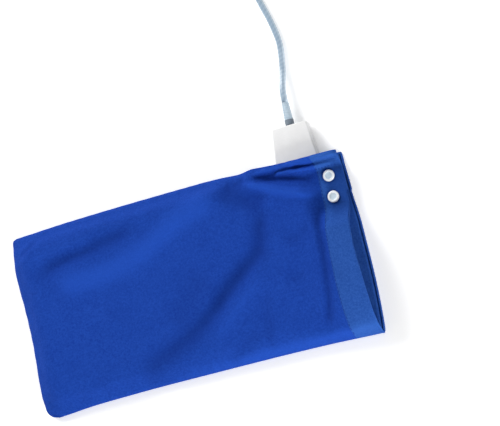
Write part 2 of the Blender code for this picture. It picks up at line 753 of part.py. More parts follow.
def wire_route(height):
    """The heating wire's path: runs along X joined by half-circle turns."""
    side = LINER_SIDE - WIRE_INSET
    spacing = 2 * side / (WIRE_RUNS - 1)
    far = WIRE_INSET - LINER_CLOSED_END + spacing / 2
    near = LINER_MOUTH - WIRE_FROM_MOUTH - spacing / 2
    points = []
    for run in range(WIRE_RUNS):
        y = side - run * spacing
        start, end = (near, far) if run % 2 == 0 else (far, near)
        for step in range(WIRE_RUN_POINTS + 1):
            points.append((start + (end - start) * step / WIRE_RUN_POINTS, y))
        if run == WIRE_RUNS - 1:
            break
        outward = math.copysign(1, end - start)
        for step in range(1, WIRE_TURN_POINTS):
            angle = math.pi * step / WIRE_TURN_POINTS
            across = spacing / 2 * (1 - math.cos(angle))
            points.append((end + outward * spacing / 2 * math.sin(angle), y - across))
    return [(x, y, height(x, y)) for x, y in points]


def build_liner():
    """The heated pad: a flat back half and a front half under the front panel, each of four layers."""
    felt = SKIN + GAP
    wire = felt + FELT + GAP + WIRE_RADIUS
    skin = wire + WIRE_RADIUS + GAP
    outline = liner_outline(0.0)

    def flat(name, bottom, thickness, material):
        low = INSIDE_FLOOR + bottom
        plan_prism(name, outline, low + thickness, MITT, material, low)

    flat("liner_back_outer_skin", 0.0, SKIN, VINYL)
    flat("liner_back_felt", felt, FELT, PAD_FELT)
    flat("liner_back_inner_skin", skin, SKIN, VINYL)
    tube(
        "liner_back_heating_wire",
        wire_route(lambda x, y: INSIDE_FLOOR + wire),
        WIRE_RADIUS,
        HEATER,
        resolution=1,
    )

    shape = plan_prism("liner_shape", outline, PRISM_TOP)
    xs = [x for x in grid_xs() if x <= BAND_START]
    ys = grid_ys(PANEL_STEPS[1])
    layers = (
        ("liner_front_outer_skin", SKIN, SKIN, VINYL),
        ("liner_front_felt", felt + FELT, FELT, PAD_FELT),
        ("liner_front_inner_skin", skin + SKIN, SKIN, VINYL),
    )
    for name, depth, thickness, material in layers:
        sheet = draped_sheet(name, xs, ys, filled_under, -GAP - depth, thickness, material)
        cut(sheet, shape, "INTERSECT")
    tube(
        "liner_front_heating_wire",
        wire_route(lambda x, y: filled_under(x, y) - GAP - wire),
        WIRE_RADIUS,
        HEATER,
        resolution=1,
    )
    liner_binding()


def liner_binding():
    """The tape that closes the liner's three sides: an upright wall whose top follows the front panel."""
    inner = liner_outline(GAP)
    outer = liner_outline(GAP + BINDING)
    shape = bmesh.new()
    rings = []
    for (ix, iy), (ox, oy) in zip(inner, outer):
        top = min(filled_under(ix, iy), filled_under(ox, oy)) - BINDING_CLEARANCE
        corners = ((ix, iy, INSIDE_FLOOR), (ox, oy, INSIDE_FLOOR), (ox, oy, top), (ix, iy, top))
        rings.append([shape.verts.new(corner) for corner in corners])
    for first, second in zip(rings, rings[1:]):
        for side in range(4):
            after = (side + 1) % 4
            shape.faces.new((first[side], first[after], second[after], second[side]))
    shape.faces.new(rings[0])
    shape.faces.new(rings[-1])
    return from_bmesh("liner_edge_binding", shape, VINYL)


def toward(x, y):
    """A turn that points a piece's own Z along (x, y)."""
    return Vector((x, y, 0)).to_track_quat("Z", "Y").to_matrix().to_4x4()


def strain_relief(name, face, heading):
    """A soft tapered collar: its neck is held in the housing's end wall and the cord leaves at its tip."""
    step = (RELIEF_LENGTH - GAP) / (2 * RELIEF_RINGS)
    taper = (RELIEF_RADIUS - RELIEF_TIP_RADIUS) / (2 * RELIEF_RINGS)
    profile = [(0, RELIEF_LENGTH), (RELIEF_TIP_RADIUS, RELIEF_LENGTH)]
    for ring in range(RELIEF_RINGS):
        low = 2 * ring + 1
        top = RELIEF_LENGTH - low * step
        profile.append((RELIEF_TIP_RADIUS + low * taper, top))
        profile.append((RELIEF_TIP_RADIUS + (low - 1) * taper, top - step / 2))
    profile.append((RELIEF_RADIUS, GAP))
    profile += [(RELIEF_NECK_RADIUS, GAP), (RELIEF_NECK_RADIUS, -RELIEF_NECK), (0, -RELIEF_NECK)]
    return turned(name, profile, COLLAR, face, toward(*heading))


def neck_cutter(name, face, heading, wall):
    return rod_cutter(name, RELIEF_NECK_RADIUS + GAP, 2 * (wall + GAP), face, toward(*heading))


def build_screw(name, x, y, base, height, lower, upper):
    """A screw from below, with its counterbore and hole cut in both shells."""
    top = base + SCREW_SHARE * height
    head_top = base + SCREW_SINK + SCREW_HEAD_HEIGHT
    profile = [
        (0, top),
        (SCREW_RADIUS, top),
        (SCREW_RADIUS, head_top),
        (SCREW_HEAD_RADIUS, head_top),
        (SCREW_HEAD_RADIUS, base + SCREW_SINK),
        (0, base + SCREW_SINK),
    ]
    turned(name, profile, SCREW, (x, y, 0), steps=12)
    bore_depth = SCREW_SINK + SCREW_HEAD_HEIGHT + GAP
    bore = rod_cutter(f"{name}_bore", SCREW_HEAD_RADIUS + GAP, 2 * bore_depth, (x, y, base), sides=12)
    hole_depth = SCREW_SHARE * height + GAP
    hole = rod_cutter(f"{name}_hole", SCREW_RADIUS + GAP, 2 * hole_depth, (x, y, base), sides=12)
    cut(lower, bore)
    for shell in (lower, upper):
        cut(shell, hole)


def two_shells(name, size, centre, edge, wall, end_wall, along_y):
    """A rounded housing in two halves with a hollow between solid ends. Returns (lower, upper)."""
    length, width, height = size
    hollow = (length - 2 * end_wall, width - 2 * wall, height - 2 * wall)
    if along_y:
        size = (width, length, height)
        hollow = (hollow[1], hollow[0], hollow[2])
    void = cutter(f"{name}_void", hollow, centre)
    shells = []
    for half, side in (("lower_shell", -1), ("upper_shell", 1)):
        shell = box(f"{name}_{half}", size, centre, HOUSING, edge)
        span = (2 * size[0], 2 * size[1], height)
        middle = (centre[0], centre[1], centre[2] - side * (height - GAP) / 2)
        cut(shell, cutter(f"{name}_{half}_half", span, middle))
        cut(shell, void)
        shells.append(shell)
    return shells


def build_block():
    """The white block in the slit, with the leads' sleeve, the splice and the thermal cut-out."""
    centre = (BLOCK_X, BLOCK_Y, BLOCK_MIDDLE)
    size = (BLOCK_LENGTH, BLOCK_WIDTH, BLOCK_HEIGHT)
    lower, upper = two_shells("block", size, centre, BLOCK_EDGE, BLOCK_WALL, BLOCK_END_WALL, True)
    face = (BLOCK_X, BLOCK_INNER_END + BLOCK_LENGTH, BLOCK_MIDDLE)
    hole = neck_cutter("block_neck_hole", face, (0, 1), BLOCK_END_WALL)
    sleeve_start = LINER_SIDE + GAP + BINDING + GAP
    sleeve_end = BLOCK_INNER_END + SLEEVE_INSIDE
    sleeve_length = sleeve_end - sleeve_start
    sleeve_middle = (BLOCK_X, sleeve_start + sleeve_length / 2, BLOCK_MIDDLE)
    sleeve_size = (SLEEVE_WIDTH, sleeve_length, SLEEVE_HEIGHT)
    box("lead_sleeve", sleeve_size, sleeve_middle, VINYL)
    slot_size = (SLEEVE_WIDTH + 2 * GAP, BLOCK_END_WALL * 2, SLEEVE_HEIGHT + 2 * GAP)
    slot = cutter("block_slot", slot_size, (BLOCK_X, BLOCK_INNER_END, BLOCK_MIDDLE))
    for shell in (lower, upper):
        cut(shell, hole)
        cut(shell, slot)
    inside = BLOCK_BOTTOM + BLOCK_WALL + GAP
    splice_y = sleeve_end + GAP + SPLICE_LENGTH / 2
    splice_z = inside + SPLICE_HEIGHT / 2
    splice_size = (SPLICE_WIDTH, SPLICE_LENGTH, SPLICE_HEIGHT)
    box("lead_splice", splice_size, (BLOCK_X, splice_y, splice_z), DARK)
    cutout_x = BLOCK_X - (SPLICE_WIDTH + CUTOUT_WIDTH) / 2 - GAP
    cutout_size = (CUTOUT_WIDTH, CUTOUT_LENGTH, SPLICE_HEIGHT)
    box("thermal_cutout", cutout_size, (cutout_x, splice_y, splice_z), SCREW)
    across = BLOCK_WIDTH / 2 - SCREW_INSET
    along = BLOCK_LENGTH / 2 - BLOCK_END_WALL / 2
    for number, side in ((1, -1), (2, 1)):
        place_at = (BLOCK_X + side * across, BLOCK_Y + side * along)
        build_screw(f"block_screw_{number}", *place_at, BLOCK_BOTTOM, BLOCK_HEIGHT, lower, upper)
    strain_relief("block_strain_relief", face, (0, 1))


def build_control():
    """The hand control on the cord. Returns its slider, which moves."""
    x, y = CONTROL_CENTRE
    size = (CONTROL_LENGTH, CONTROL_WIDTH, CONTROL_HEIGHT)
    centre = (x, y, CONTROL_MIDDLE)
    lower, upper = two_shells(
        "control", size, centre, CONTROL_EDGE, CONTROL_WALL, CONTROL_END_WALL, False
    )
    for number, side in ((1, 1), (2, -1)):
        face = (x + side * CONTROL_LENGTH / 2, y, CONTROL_MIDDLE)
        strain_relief(f"control_strain_relief_{number}", face, (side, 0))
        hole = neck_cutter(f"control_neck_hole_{number}", face, (side, 0), CONTROL_END_WALL)
        for shell in (lower, upper):
            cut(shell, hole)
        along = side * (CONTROL_LENGTH - CONTROL_END_WALL) / 2
        across = side * (CONTROL_WIDTH / 2 - SCREW_INSET - CONTROL_WALL)
        build_screw(
            f"control_screw_{number}", x + along, y + across, 0.0, CONTROL_HEIGHT, lower, upper
        )

    board_length = CONTROL_LENGTH - 2 * (CONTROL_END_WALL + BOARD_INSET)
    board_width = CONTROL_WIDTH - 2 * (CONTROL_WALL + BOARD_INSET)
    board_z = CONTROL_WALL + GAP + BOARD_THICKNESS / 2
    box("control_board", (board_length, board_width, BOARD_THICKNESS), (x, y, board_z), BOARD)
    slot_x = x - SLIDER_OFFSET
    switch_base = CONTROL_WALL + GAP + BOARD_THICKNESS + GAP
    switch_size = (SWITCH_LENGTH, SWITCH_WIDTH, SWITCH_HEIGHT)
    box("slide_switch", switch_size, (slot_x, y, switch_base + SWITCH_HEIGHT / 2), DARK)

    slot_length = SLIDER_STEM_LENGTH + SLIDER_TRAVEL + 4 * GAP
    slot_size = (slot_length, SLIDER_STEM_WIDTH + 2 * GAP, CONTROL_HEIGHT)
    cut(upper, cutter("slider_slot", slot_size, (slot_x, y, CONTROL_HEIGHT)))
    lens_x = x + LENS_OFFSET
    cut(upper, rod_cutter("lens_hole", LENS_RADIUS + GAP, 4 * CONTROL_WALL, (lens_x, y, CONTROL_HEIGHT)))
    profile = [
        (0, LENS_STAND),
        (LENS_RADIUS - LENS_STAND / 2, LENS_STAND),
        (LENS_RADIUS, LENS_STAND / 2),
        (LENS_RADIUS, -LENS_DEPTH),
        (0, -LENS_DEPTH),
    ]
    turned("indicator_lens", profile, LENS, (lens_x, y, CONTROL_HEIGHT))

    rest_x = slot_x - SLIDER_TRAVEL / 2
    knob_z = CONTROL_HEIGHT + GAP + SLIDER_HEIGHT / 2
    knob = box(
        "heat_slider", (SLIDER_LENGTH, SLIDER_WIDTH, SLIDER_HEIGHT), (rest_x, y, knob_z), DARK, SLIDER_EDGE
    )
    stem_bottom = switch_base + SWITCH_HEIGHT + GAP
    stem_size = (SLIDER_STEM_LENGTH, SLIDER_STEM_WIDTH, knob_z - stem_bottom)
    cut(knob, cutter("slider_stem", stem_size, (rest_x, y, (knob_z + stem_bottom) / 2)), "UNION")
    return knob


def cord_run(name, start, heading, route, end, end_heading):
    """A free stretch of cord between two ends, square to each for one diameter. Returns its length."""
    heading = Vector((*heading, 0))
    end_heading = Vector((*end_heading, 0))
    first = Vector(start) + 2 * CORD_RADIUS * heading
    last = Vector(end) - 2 * CORD_RADIUS * end_heading
    middle = [Vector((x, y, CORD_HEIGHT)) for x, y in route]
    points, length = smooth_route([first, *middle, last], heading, end_heading)
    tube(name, [Vector(start), *points, Vector(end)], CORD_RADIUS, CORD)
    return length + 4 * CORD_RADIUS


def coil_point(turn):
    """The coil's centreline after this many turns: in over the ground, up in half a turn, and out again."""
    climb = turn - COIL_TURNS
    if climb < 0:
        radius = COIL_INNER_RADIUS - climb * COIL_PITCH
    elif climb < 1 / 2:
        radius = COIL_INNER_RADIUS - COIL_PITCH * climb * (1 - 2 * climb)
    else:
        radius = COIL_INNER_RADIUS + (climb - 1 / 2) * COIL_PITCH
    angle = 2 * math.pi * (turn + 1 / 4)
    x = COIL_CENTRE[0] + radius * math.cos(angle)
    y = COIL_CENTRE[1] + radius * math.sin(angle)
    return Vector((x, y, COIL_HEIGHT + COIL_PITCH * smooth(2 * climb)))


def least_self_gap(points):
    """The least gap that a tube on these points keeps to its own other loops."""
    far = COIL_POINTS // 3
    least = min(
        (a - b).length for i, a in enumerate(points) for b in points[i + far :]
    )
    return least - 2 * CORD_RADIUS


def build_coil():
    """The wound cord and its tie. Returns (start, end, length) of the wound stretch."""
    count = round((2 * COIL_TURNS + 1 / 2) * COIL_POINTS)
    loops = [coil_point(step / COIL_POINTS) for step in range(count + 1)]
    print(f"cord coil: least gap to itself {least_self_gap(loops) * 1000:.2f} mm")
    straight = Vector((2 * CORD_RADIUS, 0, 0))
    points = [loops[0] + straight, *loops, loops[-1] + straight]
    tube("supply_cord_coil", points, CORD_RADIUS, CORD, resolution=1)
    length = sum((b - a).length for a, b in zip(points, points[1:]))

    clear_radius = COIL_INNER_RADIUS - COIL_PITCH / 8 - CORD_RADIUS - GAP
    inner = math.sqrt(clear_radius**2 - (TIE_WIDTH / 2) ** 2)
    outer = COIL_OUTER_RADIUS + CORD_RADIUS + GAP
    middle = (inner + outer) / 2
    top = COIL_HEIGHT + COIL_PITCH + CORD_RADIUS + GAP
    inside = (outer - inner, 2 * TIE_WIDTH, top - TIE_THICKNESS)
    outside = (outer - inner + 2 * TIE_THICKNESS, TIE_WIDTH, top + TIE_THICKNESS)
    along = Matrix.Rotation(TIE_ANGLE, 4, "Z")
    shift = along @ Vector((middle, 0, 0)) + Vector((*COIL_CENTRE, 0))
    tie_at = shift + Vector((0, 0, (top + TIE_THICKNESS) / 2))
    tie = box("cord_tie", outside, tie_at, DARK, turn=along)
    hole_at = shift + Vector((0, 0, (top + TIE_THICKNESS) / 2))
    cut(tie, box("cord_tie_hole", inside, hole_at, collection=CUTTERS, turn=along))
    return points[0], points[-1], length


def build_plug():
    """A two-pin polarised plug with its strain relief. Returns where its cord ends."""
    x, y = PLUG_REAR
    middle = PLUG_HEIGHT / 2
    size = (PLUG_LENGTH, PLUG_WIDTH, PLUG_HEIGHT)
    body = box("plug_body", size, (x + PLUG_LENGTH / 2, y, middle), CORD, PLUG_EDGE)
    rear = (x, y, middle)
    strain_relief("plug_strain_relief", rear, (-1, 0))
    cut(body, neck_cutter("plug_neck_hole", rear, (-1, 0), RELIEF_NECK))
    blade_x = x + PLUG_LENGTH + GAP + BLADE_LENGTH / 2
    for number, side, width in ((1, 1, BLADE_WIDTH), (2, -1, WIDE_BLADE_WIDTH)):
        at = (blade_x, y + side * BLADE_SPACING / 2, middle)
        box(f"plug_blade_{number}", (BLADE_LENGTH, BLADE_THICKNESS, width), at, BLADE)
    return Vector((x - RELIEF_LENGTH - GAP, y, middle))


def build_cord():
    """The whole cord: block to control, control to coil, the coil, and coil to plug."""
    beyond = RELIEF_LENGTH + GAP
    side = CONTROL_LENGTH / 2 + beyond
    x, y = CONTROL_CENTRE
    block_exit = Vector((BLOCK_X, BLOCK_INNER_END + BLOCK_LENGTH + beyond, BLOCK_MIDDLE))
    control_in = Vector((x + side, y, CONTROL_MIDDLE))
    control_out = Vector((x - side, y, CONTROL_MIDDLE))
    lead = cord_run("lead_cord", block_exit, (0, 1), LEAD_ROUTE, control_in, (-1, 0))
    coil_start, coil_end, wound = build_coil()
    gap = Vector((GAP, 0, 0))
    link = cord_run("supply_cord_link", control_out, (-1, 0), LINK_ROUTE, coil_start + gap, (-1, 0))
    tail = cord_run("supply_cord_tail", coil_end + gap, (1, 0), TAIL_ROUTE, build_plug(), (1, 0))
    print(f"cord: lead {lead:.3f} m, supply {link + wound + tail:.3f} m")


def carry(name, at, items):
    """Parents items, where they are, to an empty at this place."""
    holder = place(name, None, None, location=at)
    bpy.context.view_layer.update()
    for item in items:
        item.parent = holder
        item.matrix_parent_inverse = holder.matrix_world.inverted()


def main():
    turning = build_cover() + build_snaps()
    build_liner()
    build_block()
    slider = build_control()
    build_cord()
    low = Vector((FOLD_SUM - HALF_WIDTH, HALF_WIDTH, FLAP_AXIS_LOW))
    high = Vector((HALF_LENGTH, FOLD_SUM - HALF_LENGTH, FLAP_AXIS_HIGH))
    carry("cuff_flap_hinge", (low + high) / 2, turning)
    carry("heat_slide", slider.location.copy(), [slider])
    print("cuff corner's fold line from", tuple(low), "to", tuple(high))


main()
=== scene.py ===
"""Looks of a heated mitt: a bag of brushed knit with two snaps, its heated liner, terminal block, cord,
hand control and plug.

Every length is in metres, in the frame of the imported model: X runs from the closed end to the open cuff,
Y across the mitt towards the slit, and Z up from the ground that the mitt lies on.
"""

from __future__ import annotations

import logging
import math
import sys
from collections.abc import Callable, Sequence
from dataclasses import dataclass
from enum import Enum

import bmesh
import bpy
import numpy as np
from mathutils import Matrix, Vector


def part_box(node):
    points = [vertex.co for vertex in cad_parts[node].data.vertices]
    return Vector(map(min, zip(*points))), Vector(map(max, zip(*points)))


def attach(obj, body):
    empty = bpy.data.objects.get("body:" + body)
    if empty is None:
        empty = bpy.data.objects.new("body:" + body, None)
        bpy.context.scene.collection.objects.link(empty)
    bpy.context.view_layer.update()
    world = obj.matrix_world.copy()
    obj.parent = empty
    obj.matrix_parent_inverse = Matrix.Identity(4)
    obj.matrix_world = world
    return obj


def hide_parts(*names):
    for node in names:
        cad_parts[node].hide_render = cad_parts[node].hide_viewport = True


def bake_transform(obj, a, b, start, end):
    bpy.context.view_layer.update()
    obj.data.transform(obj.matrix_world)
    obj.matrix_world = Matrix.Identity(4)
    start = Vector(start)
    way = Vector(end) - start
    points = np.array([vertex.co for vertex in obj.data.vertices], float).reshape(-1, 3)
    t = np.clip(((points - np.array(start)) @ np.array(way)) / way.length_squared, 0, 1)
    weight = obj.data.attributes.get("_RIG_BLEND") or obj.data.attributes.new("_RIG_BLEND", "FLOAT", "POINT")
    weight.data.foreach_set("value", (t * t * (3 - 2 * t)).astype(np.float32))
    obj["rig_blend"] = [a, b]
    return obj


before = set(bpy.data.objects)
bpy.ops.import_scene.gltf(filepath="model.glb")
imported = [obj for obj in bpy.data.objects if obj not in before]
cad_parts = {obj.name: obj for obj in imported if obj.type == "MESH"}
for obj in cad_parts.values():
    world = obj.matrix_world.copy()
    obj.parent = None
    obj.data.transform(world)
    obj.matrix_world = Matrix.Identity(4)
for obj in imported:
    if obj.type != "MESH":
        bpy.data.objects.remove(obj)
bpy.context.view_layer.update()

LOG = logging.getLogger("heated mitt")
Plan = tuple[float, float]
Place = tuple[float, float, float]
Colour = tuple[float, float, float]
Spans = tuple[Plan, Plan]
Field = np.ndarray
Shape = bmesh.types.BMesh
Point = bmesh.types.BMVert
Piece = bpy.types.Object
Material = bpy.types.Material
NodeTree = bpy.types.NodeTree

# A piece's layer of UV coordinates
CLOTH_MAP = "ClothMap"
# A cloth piece's layer of painted shade, which is below 0 on a ridge, where it paints a highlight, and above
# it in a valley, where it paints shade, and its limits
FOLD_SHADE = "FoldShade"
RIDGE_SHADE = 0.5
VALLEY_SHADE = 0.85
# The length of twin cord in which its strands turn once
CORD_LAY = 0.0042
# Points nearer to each other than this are made one
WELD = 1e-6


class Body(Enum):
    """The bodies that the pieces ride on."""

    MITT = "mitt"
    FLAP = "cuff_flap"
    SLIDER = "slider"


def mixed(low: float, high: float, share: float | Field) -> float | Field:
    """The value at a share of the way from low to high."""
    return low + (high - low) * share


class Wire:
    """A socket that turns Python's operators into Math nodes."""

    def __init__(self, tree: NodeTree, socket: bpy.types.NodeSocket) -> None:
        """Keeps the tree and the output socket that later nodes read."""
        self.tree = tree
        self.socket = socket

    def math(self, operation: str, *others: Wire | float) -> Wire:
        """Adds a Math node.

        Args:
            operation: Blender's name of the operation.
            others: The values after this one, sockets or numbers.

        Returns:
            The node's result.
        """
        node = self.tree.nodes.new("ShaderNodeMath")
        node.operation = operation
        for slot, value in enumerate((self, *others)):
            if isinstance(value, Wire):
                self.tree.links.new(value.socket, node.inputs[slot])
            else:
                node.inputs[slot].default_value = value
        return Wire(self.tree, node.outputs[0])

    def __add__(self, other: Wire | float) -> Wire:
        """Adds a value."""
        return self.math("ADD", other)

    def __mul__(self, other: Wire | float) -> Wire:
        """Multiplies by a value."""
        return self.math("MULTIPLY", other)

    __radd__ = __add__
    __rmul__ = __mul__

    def step(self, low: float, high: float) -> Wire:
        """A smooth step from 0 at low to 1 at high."""
        node = self.tree.nodes.new("ShaderNodeMapRange")
        node.interpolation_type = "SMOOTHSTEP"
        node.inputs["From Min"].default_value = low
        node.inputs["From Max"].default_value = high
        self.tree.links.new(self.socket, node.inputs["Value"])
        return Wire(self.tree, node.outputs["Result"])


@dataclass(frozen=True)
class Grain:
    """A noise: how many lumps it has in a metre, and how many finer layers of what strength."""

    scale: float
    detail: float
    roughness: float


class Shader:
    """One procedural material round a Principled shader."""

    def __init__(self, name: str, **constants: float | Colour) -> None:
        """Makes the material.

        Args:
            name: The material's name.
            constants: Values of the shader's own sockets, with spaces in their names as underscores.
        """
        self.material = bpy.data.materials.new(name)
        self.material.use_nodes = True
        self.tree = self.material.node_tree
        self.surface = self.tree.nodes["Principled BSDF"]
        for title, value in constants.items():
            socket = self.surface.inputs[title.replace("_", " ")]
            socket.default_value = (*value, 1.0) if isinstance(value, tuple) else value

    def node(self, kind: str, settings: dict[str, object] | None = None, **inputs: object) -> bpy.types.Node:
        """Adds a node.

        Args:
            kind: The node's type without ShaderNode.
            settings: Its properties, such as a data type or the name of a layer.
            inputs: Values or wires of its sockets, with spaces in their names as underscores.

        Returns:
            The node.
        """
        node = self.tree.nodes.new("ShaderNode" + kind)
        for title, value in (settings or {}).items():
            setattr(node, title, value)
        for title, value in inputs.items():
            socket = node.inputs[title.replace("_", " ")]
            if isinstance(value, Wire):
                self.tree.links.new(value.socket, socket)
            else:
                socket.default_value = value
        return node

    def wire(self, node: bpy.types.Node, output: str) -> Wire:
        """One output of a node as a wire."""
        return Wire(self.tree, node.outputs[output])

    def place(self) -> Wire:
        """Object coordinates."""
        return self.wire(self.node("TexCoord"), "Object")

    def layer(self, name: str) -> Wire:
        """A named layer of UV coordinates."""
        return self.wire(self.node("UVMap", {"uv_map": name}), "UV")

    def shade(self, name: str) -> Wire:
        """A named layer of numbers on the points."""
        return self.wire(self.node("Attribute", {"attribute_name": name}), "Fac")

    def split(self, vector: Wire) -> tuple[Wire, Wire, Wire]:
        """The three parts of a vector."""
        node = self.node("SeparateXYZ", Vector=vector)
        return self.wire(node, "X"), self.wire(node, "Y"), self.wire(node, "Z")

    def stretched(self, vector: Wire, scale: Place, turn: float = 0.0) -> Wire:
        """A vector scaled along its parts and turned about Z."""
        node = self.node("Mapping", Vector=vector, Scale=scale, Rotation=(0.0, 0.0, turn))
        return self.wire(node, "Vector")

    def noise(self, vector: Wire, grain: Grain) -> Wire:
        """Noise from 0 to 1."""
        settings = {"Scale": grain.scale, "Detail": grain.detail, "Roughness": grain.roughness}
        return self.wire(self.node("TexNoise", Vector=vector, **settings), "Fac")

    def blended(self, share: Wire, first: Colour | Wire, second: Colour | Wire) -> Wire:
        """A mix of two colours."""
        node = self.node("Mix", {"data_type": "RGBA"})
        self.tree.links.new(share.socket, node.inputs["Factor"])
        for socket, value in ((node.inputs[6], first), (node.inputs[7], second)):
            if isinstance(value, Wire):
                self.tree.links.new(value.socket, socket)
            else:
                socket.default_value = (*value, 1.0)
        return Wire(self.tree, node.outputs[2])

    def bumped(self, height: Wire, depth: float, strength: float) -> None:
        """Feeds the shader's Normal from a height, whose full range is depth metres."""
        node = self.node("Bump", Height=height, Distance=depth, Strength=strength)
        self.tree.links.new(node.outputs["Normal"], self.surface.inputs["Normal"])

    def feed(self, title: str, wire: Wire) -> None:
        """Joins a wire to one of the shader's sockets."""
        self.tree.links.new(wire.socket, self.surface.inputs[title])


@dataclass(frozen=True)
class Knit:
    """Brushed knit: a soft nap over fine rows of loops."""

    name: str
    colour: Colour
    # The worn colour gives the random lighter wear, and, brightened by crest, the painted highlight on a
    # fold's crest; the shaded colour is the painted shade in a valley
    worn_and_highlight: Colour
    shaded: Colour
    sheen: float = 0.35
    nap: float = 0.0004
    crest: float = 1.25
    crest_share: float = 0.5
    clouds: Grain = Grain(55.0, 4.0, 0.6)
    mottle: Grain = Grain(520.0, 3.0, 0.75)
    fibre: Grain = Grain(1900.0, 2.0, 0.7)
    fibre_stretch: Place = (1.0, 2.6, 1.0)
    fibre_turn: float = 0.6
    wear_shares: Place = (0.12, 0.63, 0.25)
    wear_range: Plan = (0.30, 0.72)
    nap_shares: Plan = (0.35, 0.65)

    def material(self) -> Material:
        """Makes the finish, whose folds darken by the cloth's own layer of painted shade, and whose crests
        lighten by it with a painted highlight.
        """
        shader = Shader(
            self.name,
            Roughness=0.95,
            Sheen_Weight=self.sheen,
            Sheen_Roughness=0.45,
            Sheen_Tint=self.worn_and_highlight,
            Specular_IOR_Level=0.10,
        )
        place = shader.place()
        cloudy = shader.noise(place, self.clouds)
        mottled = shader.noise(place, self.mottle)
        fibres = shader.noise(shader.stretched(place, self.fibre_stretch, self.fibre_turn), self.fibre)
        by_clouds, by_mottle, by_fibres = self.wear_shares
        wear = (by_clouds * cloudy + by_mottle * mottled + by_fibres * fibres).step(*self.wear_range)
        base = shader.blended(wear, self.colour, self.worn_and_highlight)
        shade = shader.shade(FOLD_SHADE)
        # Painted highlight on the crests, then painted shade in the valleys
        crest = (shade * -1.0).step(0.0, RIDGE_SHADE) * self.crest_share
        lit = shader.blended(crest, base, tuple(min(1.0, self.crest * part) for part in self.worn_and_highlight))
        shader.feed("Base Color", shader.blended(shade.math("MAXIMUM", 0.0), lit, self.shaded))
        shader.bumped(self.nap_shares[0] * mottled + self.nap_shares[1] * fibres, self.nap, 0.9)
        return shader.material


@dataclass(frozen=True)
class Moulded:
    """Moulded plastic with a fine spark texture and slightly rubbed patches."""

    name: str
    colour: Colour
    rubbed: Colour
    roughness: float = 0.42
    spark_depth: float = 0.00004
    spark_scale: float = 1400.0
    clear: float = 0.0
    patches: Grain = Grain(90.0, 3.0, 0.6)
    rubbed_range: Plan = (0.35, 0.75)
    uneven: float = 0.12

    def material(self) -> Material:
        """Makes the finish."""
        shader = Shader(self.name, IOR=1.49, Coat_Weight=self.clear, Coat_Roughness=0.2)
        place = shader.place()
        spark = shader.noise(place, Grain(self.spark_scale, 2.0, 0.6))
        patches = shader.noise(place, self.patches)
        rubbed = patches.step(*self.rubbed_range)
        shader.feed("Base Color", shader.blended(rubbed, self.colour, self.rubbed))
        shader.feed("Roughness", self.roughness - self.uneven / 2 + self.uneven * patches)
        shader.bumped(spark, self.spark_depth, 0.6)
        return shader.material


@dataclass(frozen=True)
class Metal:
    """Bare metal with fine turning or rolling marks."""

    name: str
    colour: Colour
    roughness: float = 0.28
    stretch: Place = (1.0, 1.0, 12.0)
    marks: Grain = Grain(900.0, 2.0, 0.6)
    marks_depth: float = 0.00002
    smudges: Grain = Grain(160.0, 3.0, 0.6)
    smudge_range: Plan = (0.3, 0.8)
    dulled: float = 0.8
    uneven: float = 0.16

    def material(self) -> Material:
        """Makes the finish."""
        shader = Shader(self.name, Metallic=1.0)
        place = shader.place()
        marks = shader.noise(shader.stretched(place, self.stretch), self.marks)
        smudge = shader.noise(place, self.smudges).step(*self.smudge_range)
        dull = tuple(self.dulled * part for part in self.colour)
        shader.feed("Base Color", shader.blended(smudge, self.colour, dull))
        shader.feed("Roughness", self.roughness + self.uneven * marks)
        shader.bumped(marks, self.marks_depth, 0.5)
        return shader.material


@dataclass(frozen=True)
class TwinCord:
    """Translucent vinyl over two cores: a pale painted highlight along each, and darker painted shade in the
    groove between them.
    """

    name: str
    pale: Colour
    deep: Colour
    girth: float
    lobe_highlight_range: Plan = (0.45, 0.95)
    murk: Grain = Grain(70.0, 3.0, 0.5)
    murk_range: Plan = (0.25, 0.75)
    light_shares: Place = (0.65, 0.10, 0.25)
    roughness: Plan = (0.24, 0.16)
    lay_depth: float = 0.00008

    def material(self) -> Material:
        """Makes the finish, which follows the cord's own map."""
        shader = Shader(self.name, IOR=1.5, Roughness=0.3, Coat_Weight=0.3, Coat_Roughness=0.15)
        across, along, _ = shader.split(shader.layer(CLOTH_MAP))
        turn = across * (math.tau / self.girth)
        # The pale stripe along each lobe is a painted highlight, and the lay's grooves darken as painted
        # shade
        lobe_highlight = turn.math("COSINE").math("ABSOLUTE").step(*self.lobe_highlight_range)
        lay = (along * (math.tau / CORD_LAY) + 2.0 * turn).math("SINE")
        murky = shader.noise(shader.place(), self.murk)
        by_lobe_highlight, by_lay, by_murk = self.light_shares
        light = lobe_highlight * by_lobe_highlight + lay * by_lay + murky.step(*self.murk_range) * by_murk
        shader.feed("Base Color", shader.blended(light, self.deep, self.pale))
        shader.feed("Roughness", self.roughness[0] + self.roughness[1] * murky)
        shader.bumped(lay, self.lay_depth, 0.5)
        return shader.material


@dataclass(frozen=True)
class Felt:
    """Needled felt or cloth tape: short fibres that cross."""

    name: str
    colour: Colour
    lint: Colour
    fibre: Grain = Grain(420.0, 3.0, 0.65)
    ways: tuple[tuple[Place, float], ...] = (((1.0, 6.0, 3.0), 0.5), ((6.0, 1.0, 3.0), 0.2))
    lint_range: Plan = (0.36, 0.64)
    depth: float = 0.0004

    def material(self) -> Material:
        """Makes the finish."""
        shader = Shader(self.name, Roughness=0.95, Specular_IOR_Level=0.1, Sheen_Weight=0.15)
        place = shader.place()
        one_way, other_way = (shader.noise(shader.stretched(place, *way), self.fibre) for way in self.ways)
        fibres = 0.5 * one_way + 0.5 * other_way
        shader.feed("Base Color", shader.blended(fibres.step(*self.lint_range), self.colour, self.lint))
        shader.bumped(fibres, self.depth, 0.8)
        return shader.material


